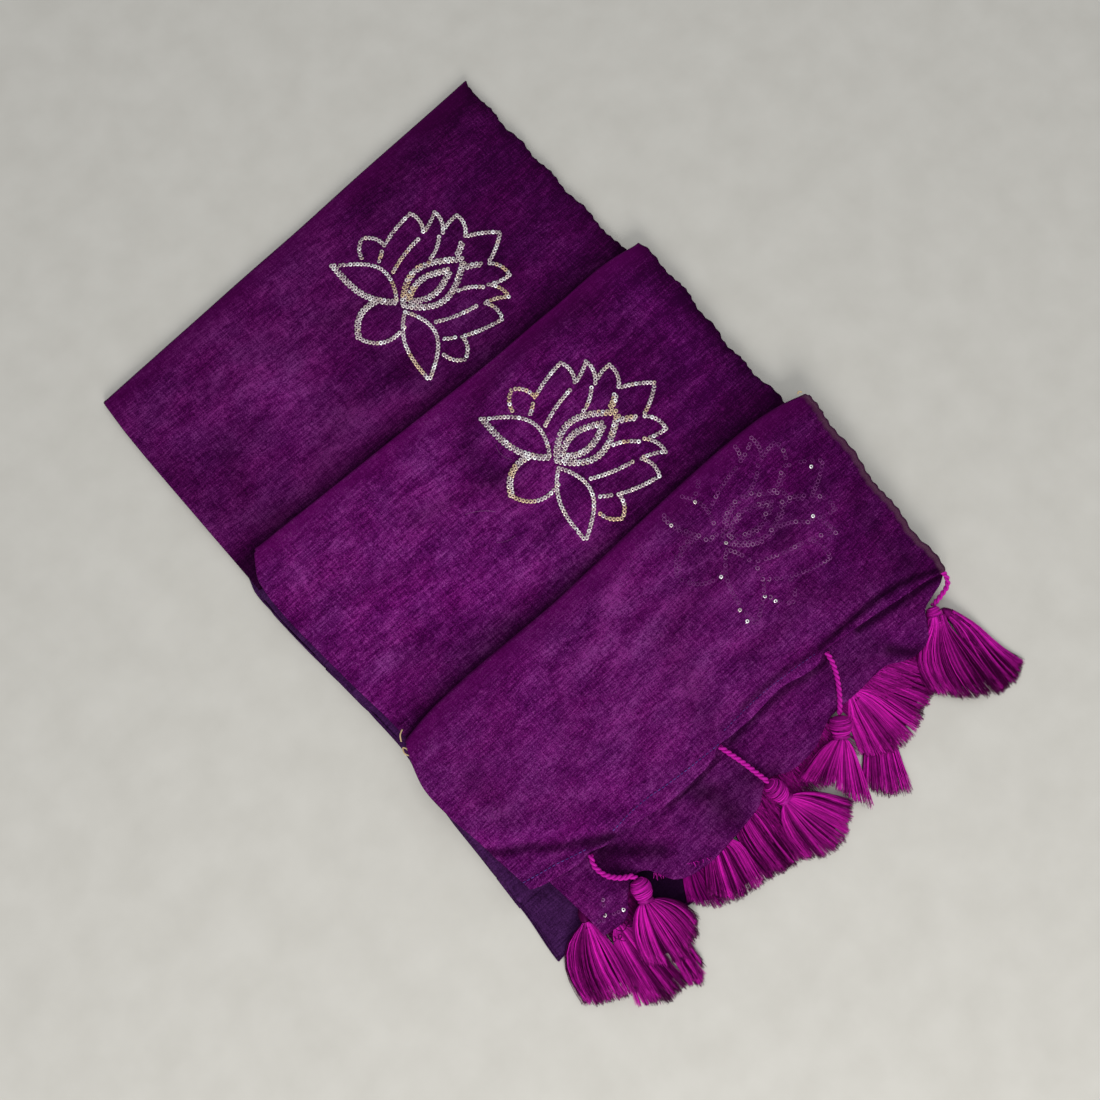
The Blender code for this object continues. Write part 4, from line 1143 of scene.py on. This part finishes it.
def makeTassel(row):
    look = skirtLook
    axis = (Vector(row.root) - Vector(row.top)).normalized()
    side = axis.cross(Vector((0, 0, 1))).normalized()
    up = side.cross(axis)
    bundle = Bundle()
    makeHead(bundle, row, side, up)
    # a dark sheet under the threads: painted shade that hides the floor between them
    shadeSheet = [threadLine(row, side, up, k / 16, -0.6, 0.80, 0.0, 0.0) for k in range(17)]
    bundle.add([p for line in shadeSheet for p in line], gridFaces(17, len(shadeSheet[0])), 0.0)
    locks = makeLocks(chance.randint(*look["locks"]))
    fan = 2 * row.halfWidth + radians(abs(row.right - row.left)) * max(row.reach)
    strands = int(fan / look["strandWidth"])
    threads = ceil(1.05 * row.threads / strands / len(look["layers"]))
    for layer in look["layers"]:
        for strand in range(strands):
            across = (strand + chance.random()) / strands
            lock = next((lock for lock in locks if across <= lock[1]), locks[-1])
            addStrand(bundle, row, side, up, across, lock, layer, threads)
    for owner, *mat in matThreads:
        if owner == row.name:
            addMat(bundle, *mat)
    finish = deepThread if row.name in look["deep"] else silkThread
    bundle.piece(row.name.replace("_", "") + "Threads", finish, "tassel_thread", row.name)


# Twisted cords: way of each from the hem to its head. lift is the height over the ply.
cordLook = {"lift": 1.9, "plyRadius": 0.86, "offset": 0.80, "pitch": 6.4, "steps": 10}
cordRoutes = (
    ("tassel_cord_1", ((150.4, -176.6, -0.1), (151.4, -180.6, -1.2), (149, -185.4, -3.2),
                       (142.6, -187.4, -4.3), (137, -188.2, -4.7), (134.6, -188.7, -4.9))),
    ("tassel_cord_2", ((66.6, -166.4, 0.3), (65, -173, 0.3), (61.4, -180.5, 0.3), (56.6, -187.6, 0.3),
                       (52, -193.2, 0.4), (48.4, -197.1, 0))),
    ("tassel_cord_3", ((-16, -164.6, 0.3), (-14.4, -171, 0.3), (-12, -180, 0.3), (-10.2, -189, 0.3),
                       (-9, -194.4, 0.3), (-8.7, -197.3, -0.1))),
    ("tassel_cord_4", ((-110.6, -160.2, 0.3), (-113, -166.4, 0.3), (-111.2, -174.4, 0.4),
                       (-106, -180.6, 0.6), (-101.4, -183.6, 0.6), (-99.9, -186.2, 0))),
)


def smoothLine(points, steps):
    line = []
    for i in range(len(points) - 1):
        before, start = points[max(i - 1, 0)], points[i]
        end, after = points[i + 1], points[min(i + 2, len(points) - 1)]
        for t in [step / steps for step in range(steps)]:
            line.append(0.5 * (2 * start + (end - before) * t
                               + (2 * before - 5 * start + 4 * end - after) * t ** 2
                               + (3 * start - before - 3 * end + after) * t ** 3))
    return line + [points[-1]]


def makeCord(name, route):
    look = cordLook
    points = []
    for x, y, lift in route:
        z = lowerTop(y) + humpLift(x, y)
        points.append(Vector((x, y, z + rippleAt(x, y, z) + look["lift"] + lift)))
    line = smoothLine(points, look["steps"])
    bundle = Bundle()
    for start in (0.0, pi):
        ply, run = [], 0.0
        for i, p in enumerate(line):
            ahead = aheadOf(line, i).normalized()
            across = ahead.cross(Vector((0, 0, 1))).normalized()
            run += (p - line[max(i - 1, 0)]).length
            turn = start + tau * run / look["pitch"]
            ply.append(around(p, across, across.cross(ahead), turn, look["offset"]))
        bundle.tube(ply, look["plyRadius"], 8, 0.72)
    bundle.piece(name.replace("_", "") + "Twist", cordThread, "tassel_cord", name)


# Sequin work

sequinLook = {"radius": 1.34, "hole": 0.58, "spacing": 2.25, "tilt": 0.16, "cup": 0.16, "lean": 0.18}
veilLook = {"radius": 1.30, "hole": 0.86, "spacing": 2.35, "tilt": 0.02, "cup": 0.03, "lean": 0.0,
            "foldGap": 5.0, "kept": 0.85}
glintLook = {"radius": 1.15, "hole": 0.55, "tilt": 0.15, "cup": 0.12}
sequinSides = 12
sequinRise = 0.18       # how far its rim stands off the cloth


def addSequin(bundle, x, y, z, tone, look, lean, heading):
    tiltX = chance.gauss(0, look["tilt"]) + lean * cos(heading)
    tiltY = chance.gauss(0, look["tilt"]) + lean * sin(heading)
    normal = Vector((tiltX, tiltY, 1)).normalized()
    across = normal.cross(Vector((0, 1, 0))).normalized()
    up = across.cross(normal)
    cup = look["cup"]
    rings = (look["radius"], -cup), (look["radius"], 0.0), (look["hole"], -cup * 0.5)
    centre = Vector((x, y, z + cup + sequinRise))
    points = [around(centre, across, up, tau * k / sequinSides, radius) + normal * height
              for radius, height in rings for k in range(sequinSides)]
    bundle.add(points, ringFaces(3, sequinSides), tone)


# The lotus. Each pair is an angle off its axis, in degrees, and a distance from its base.
lotus = {
    "tips": ((110.5, 52), (82, 52.5), (48.3, 62), (34.8, 65.5), (22.7, 68.5), (0, 77)),
    "notches": ((91.5, 41.5), (69, 42), (38, 50), (24.8, 53.5), (11.3, 59)),
    "front": (118, 5),
    "frontBulge": (6.5, 13.5),      # outer and inner side of the petals in front
    "budLength": 48,
    "budHalfWidth": 13.5,
    "heart": (4, 37),
    "heartHalfWidth": 6.3,
}


def bow(start, end, bulge, steps=24):
    # a bowed line between two points. bulge is its height to the left of the way, over its length
    span = end - start
    left = Vector((-span.y, span.x)) * bulge
    return [start + span * share + left * (4 * share * (1 - share))
            for share in [k / steps for k in range(steps + 1)]]


def leafLine(start, end, halfWidth, steps=30):
    span = end - start
    left = Vector((-span.y, span.x)).normalized() * halfWidth
    return [start + span * share + left * sin(pi * share ** 0.85)
            for share in [k / steps for k in range(steps + 1)]]


def lotusLines():
    # lines of sequins: points, and whether the row is double
    lines = []
    for sign in (1, -1):
        def polar(angle, radius):
            a = radians(sign * angle)
            return Vector((radius * cos(a), radius * sin(a)))
        tip = [polar(*pair) for pair in lotus["tips"]]
        notch = [polar(*pair) for pair in lotus["notches"]]
        front, bud = polar(*lotus["front"]), Vector((lotus["budLength"], 0))
        heart = [Vector((x, 0)) for x in lotus["heart"]]
        outer, inner = lotus["frontBulge"]
        left = sign > 0
        lines += [
            (leafLine(front, tip[0], outer * sign), left),
            (leafLine(front, tip[0], -inner * sign), False),
            (bow(notch[0], tip[1], 0.13 * sign), False),           # small petal behind
            (bow(tip[1], notch[1], 0.16 * sign), False),
            (bow(polar(73, 38.5), polar(83, 32), 0.05), False),
            (bow(notch[1], tip[2], 0.04 * sign), False),           # three petals at each side
            (bow(tip[2], notch[2], 0.15 * sign), False),
            (bow(polar(40.5, 45), polar(71, 22), -0.04 * sign), False),
            (bow(notch[2], tip[3], -0.05 * sign), False),
            (bow(tip[3], notch[3], 0.13 * sign), False),
            (bow(polar(26, 50.5), polar(24, 33), 0.08 * sign), False),
            (bow(notch[3], tip[4], 0.08 * sign), False),
            (bow(tip[4], notch[4], 0.15 * sign), False),
            (bow(polar(10, 54.5), polar(6, 45.5), 0.05 * sign), True),
            (bow(notch[4], tip[5], 0.05 * sign), False),
            (leafLine(Vector((0, 0)), bud, lotus["budHalfWidth"] * sign), True),
            (leafLine(*heart, lotus["heartHalfWidth"] * sign, 20), True),
            (bow(polar(127, 15), Vector((-35, 0)), -0.22 * sign), left),
        ]
    return lines


def along(line, spacing):
    # places and headings at even steps along a line
    found, wait = [], 0.0
    for a, b in zip(line, line[1:]):
        span = b - a
        while wait <= span.length:
            found.append((a + span * (wait / max(span.length, 1e-6)), atan2(span.y, span.x)))
            wait += spacing
        wait -= span.length
    return found


# bright: share of sequins painted white as glints
toneLook = {"bright": 0.10, "goldFrom": 0.98, "gold": (0.60, 0.76), "plain": (0.05, 0.58)}


def sequinTone(x, y):
    # gold runs together here and there, and a few are painted white as glints
    pick = chance.random()
    if pick < toneLook["bright"]:
        return 1.0
    gold = sin(x / 13 + 2.0) * sin(y / 17 + 0.5) + 0.35 * sin((x + y) / 5)
    return chance.uniform(*toneLook["gold" if gold + 0.5 * pick > toneLook["goldFrom"] else "plain"])


def sequinLotus(name, base, turn, height, finish, look, border=None):
    bundle = Bundle()
    placed = []
    spin = radians(turn)
    for line, double in lotusLines():
        spacing = look["spacing"] * (1.15 if double else 1.0)
        for offset, phase in ((-0.8, 0.0), (0.8, 1.0)) if double else ((0.0, 0.0),):
            for spot, heading in along(line, spacing):
                sine, cosine = sin(heading), cos(heading)
                at = spot + (Vector((-sine, cosine)) * offset + Vector((cosine, sine)) * phase)
                x = base[0] + at.x * cos(spin) - at.y * sin(spin)
                y = base[1] + at.x * sin(spin) + at.y * cos(spin)
                if any((x - px) ** 2 + (y - py) ** 2 < 1.5 for px, py in placed):
                    continue
                placed.append((x, y))
                if chance.random() > look.get("kept", 1.0) or (border and border(x, y)):
                    continue
                tone = sequinTone(x, y)
                addSequin(bundle, x, y, height(x, y), tone, look, look["lean"], heading + spin)
    bundle.piece(name, finish)


def looseSequins(name, spots, height, lean, finish):
    bundle = Bundle()
    for x, y in spots:
        heading = chance.random() * tau
        tone = chance.choice((0.30, 0.50, 1.0))
        addSequin(bundle, x, y, height(x, y), tone, glintLook, lean, heading)
    bundle.piece(name, finish)


# Loose threads

hairSpots = ((36, 54, 16), (8, 40, 14), (-20, 22, 18), (-34, 10, 12))      # place and length
loopRoutes = (      # ends of pale thread at the left and right end of the pallu's fold
    ((-149.5, -42.5, 13.5), (-147.5, -39.5, 15.2), (-144.6, -37.8, 14.6)),
    ((-150.8, -52.0, 12.6), (-152.4, -49.0, 13.6), (-151.2, -45.8, 13.0), (-149.8, -48.0, 13.4),
     (-150.6, -51.5, 12.8)),
    ((165.0, -43.6, 15.0), (163.6, -42.2, 15.6), (162.2, -43.0, 15.2)),
)
curlSpots = (      # dark thread beside the corner of the ply: place, radius, turns, how far it runs
    (-126, -199, 6.2, 2.2, 1.4, 4.0), (-130.5, -200, 5.4, 2.6, 1.1, -3.0),
    (-121, -200.5, 5.8, 1.8, 1.6, 3.0), (-129, -203, 4.4, 1.6, 1.3, 2.0),
)


looseRadius = {"hair": 0.07, "loop": 0.45, "curl": 0.22}


def makeHairs():
    bundle = Bundle()
    for x, y, length in hairSpots:
        heading = chance.random() * tau
        turn = chance.uniform(-1.6, 1.6)
        line = []
        for i in range(9):
            x += cos(heading + turn * i / 8) * length / 8
            y += sin(heading + turn * i / 8) * length / 8
            line.append(Vector((x, y, topSurface(secondLook, x, y) + 0.5)))
        bundle.tube(line, looseRadius["hair"], 3, chance.random())
    bundle.piece("strayHairs", hairThread, "tassel_thread")


def makeLoops():
    bundle = Bundle()
    for route in loopRoutes:
        bundle.tube(smoothLine([Vector(p) for p in route], 6), looseRadius["loop"], 6, 0.7)
    bundle.piece("looseLoops", tanThread, "tassel_thread")


def makeCurls():
    bundle = Bundle()
    for x, y, z, radius, turns, run in curlSpots:
        line = []
        for share in [i / 24 for i in range(25)]:
            turn = tau * turns * share + x
            line.append(Vector((x + run * share + radius * cos(turn),
                                y - 3.5 * share + radius * sin(turn), z + 0.6 * sin(3 * turn))))
        bundle.tube(line, looseRadius["curl"], 5, 0.2)
    bundle.piece("looseCurls", darkThread, "tassel_thread")


# Setting

floorLook = {"half": 3.0, "dark": (0.56, 0.54, 0.49), "light": (0.60, 0.58, 0.53)}
lightLook = (     # name, place, size, energy, colour
    ("window", (-0.75, -1.15, 0.85), 0.7, 17.0, (1.0, 0.99, 0.97)),
    ("ceiling", (0.1, 0.0, 1.7), 1.6, 9.0, (0.97, 0.98, 1.0)),
)
skyLook = {"Color": (0.93, 0.96, 1.0, 1.0), "Strength": 0.42}
cameraLook = {"azimuth": -41.5, "elevation": 79.0, "distance": 0.66, "target": (-11.0, -13.5, 0.0),
              "lens": 36.0}


def addObject(name, data):
    made = bpy.data.objects.new(name, data)
    bpy.context.scene.collection.objects.link(made)
    return made


def makeFloor():
    half = floorLook["half"]
    f = Finish("paleFloor", Roughness=0.9, Specular_IOR_Level=0.2)
    grain = f.noise(f.coords(), 40, 3.0)
    mesh = bpy.data.meshes.new("floor")
    mesh.from_pydata([(-half, -half, 0), (half, -half, 0), (half, half, 0), (-half, half, 0)],
                     [], [(0, 1, 2, 3)])
    mesh.materials.append(f.feed(Base_Color=f.ramp(grain, ((0.3, floorLook["dark"]),
                                                           (0.7, floorLook["light"])))))
    floor = addObject("floor", mesh)
    floor.location.z = -0.0002


def makeLights():
    for name, spot, size, energy, colour in lightLook:
        lamp = bpy.data.lights.new(name, "AREA")
        lamp.size, lamp.energy, lamp.color = size, energy, colour
        holder = addObject(name, lamp)
        holder.location = spot
        holder.rotation_euler = (-Vector(spot)).to_track_quat("-Z", "Y").to_euler()
    world = bpy.data.worlds.new("softRoom")
    world.use_nodes = True
    for key, value in skyLook.items():
        world.node_tree.nodes["Background"].inputs[key].default_value = value
    bpy.context.scene.world = world
    bpy.context.scene.view_settings.view_transform = "Standard"


def makeCamera():
    a, e = radians(cameraLook["azimuth"]), radians(cameraLook["elevation"])
    back = Vector((sin(a) * cos(e), -cos(a) * cos(e), sin(e)))
    right = Vector((cos(a), sin(a), 0))
    lens = bpy.data.cameras.new("camera")
    lens.lens = cameraLook["lens"]
    lens.sensor_width = 36.0
    lens.clip_start = 0.01
    camera = addObject("camera", lens)
    spot = Vector(place(*cameraLook["target"])) + back * cameraLook["distance"]
    turn = Matrix((right, back.cross(right), back)).transposed().to_4x4()
    camera.matrix_world = Matrix.Translation(spot) @ turn
    bpy.context.scene.camera = camera


makeFloor()
makeLights()
makeCamera()
print("setting ready")
makeHiddenLayers()
makeLowerPly()
makeBottomPly()
makeStretch("firstStretch", "first_stretch", firstCloth, firstLook)
makeStretch("secondStretch", "second_stretch", secondCloth, secondLook)
makePallu()
print("cloth laid")
for row in tassels:
    makeTassel(row)
for name, route in cordRoutes:
    makeCord(name, route)
print("tassels hung")
sequinLotus("firstLotus", (23, 162), -2, lambda x, y: topSurface(firstLook, x, y), spangle, sequinLook)
sequinLotus("secondLotus", (27, 23), -2, lambda x, y: topSurface(secondLook, x, y), spangle, sequinLook)
sequinLotus("veiledLotus", (67, -80), -2, lambda x, y: palluSurface(x, y) - 0.15, veiledSpangle, veilLook,
            lambda x, y: y > foldY(palluFold, x) - veilLook["foldGap"])
looseSequins("veiledGlints", ((62.3, -119), (65.1, -125.2), (45.8, -115.2), (44.6, -122.8), (66.9, -81),
                              (50.9, -93.8), (116.3, -103.2), (136.2, -80.9), (70, -51), (50, -52)),
             palluSurface, 0.1, spangle)
looseSequins("plyGlints", ((-126.3, -189.7), (-116.5, -194.5)), lowerHeight, 0.5, spangle)
looseSequins("veiledPlyGlints", ((-121.5, -182.7), (-123.2, -185.2), (-131.0, -190.0), (-128.8, -191.6),
                                 (-122.0, -192.4), (-119.4, -193.6)), lowerHeight, 0.1, veiledSpangle)
print("sequins sewn")
makeHairs()
makeLoops()
makeCurls()
print("loose threads laid")
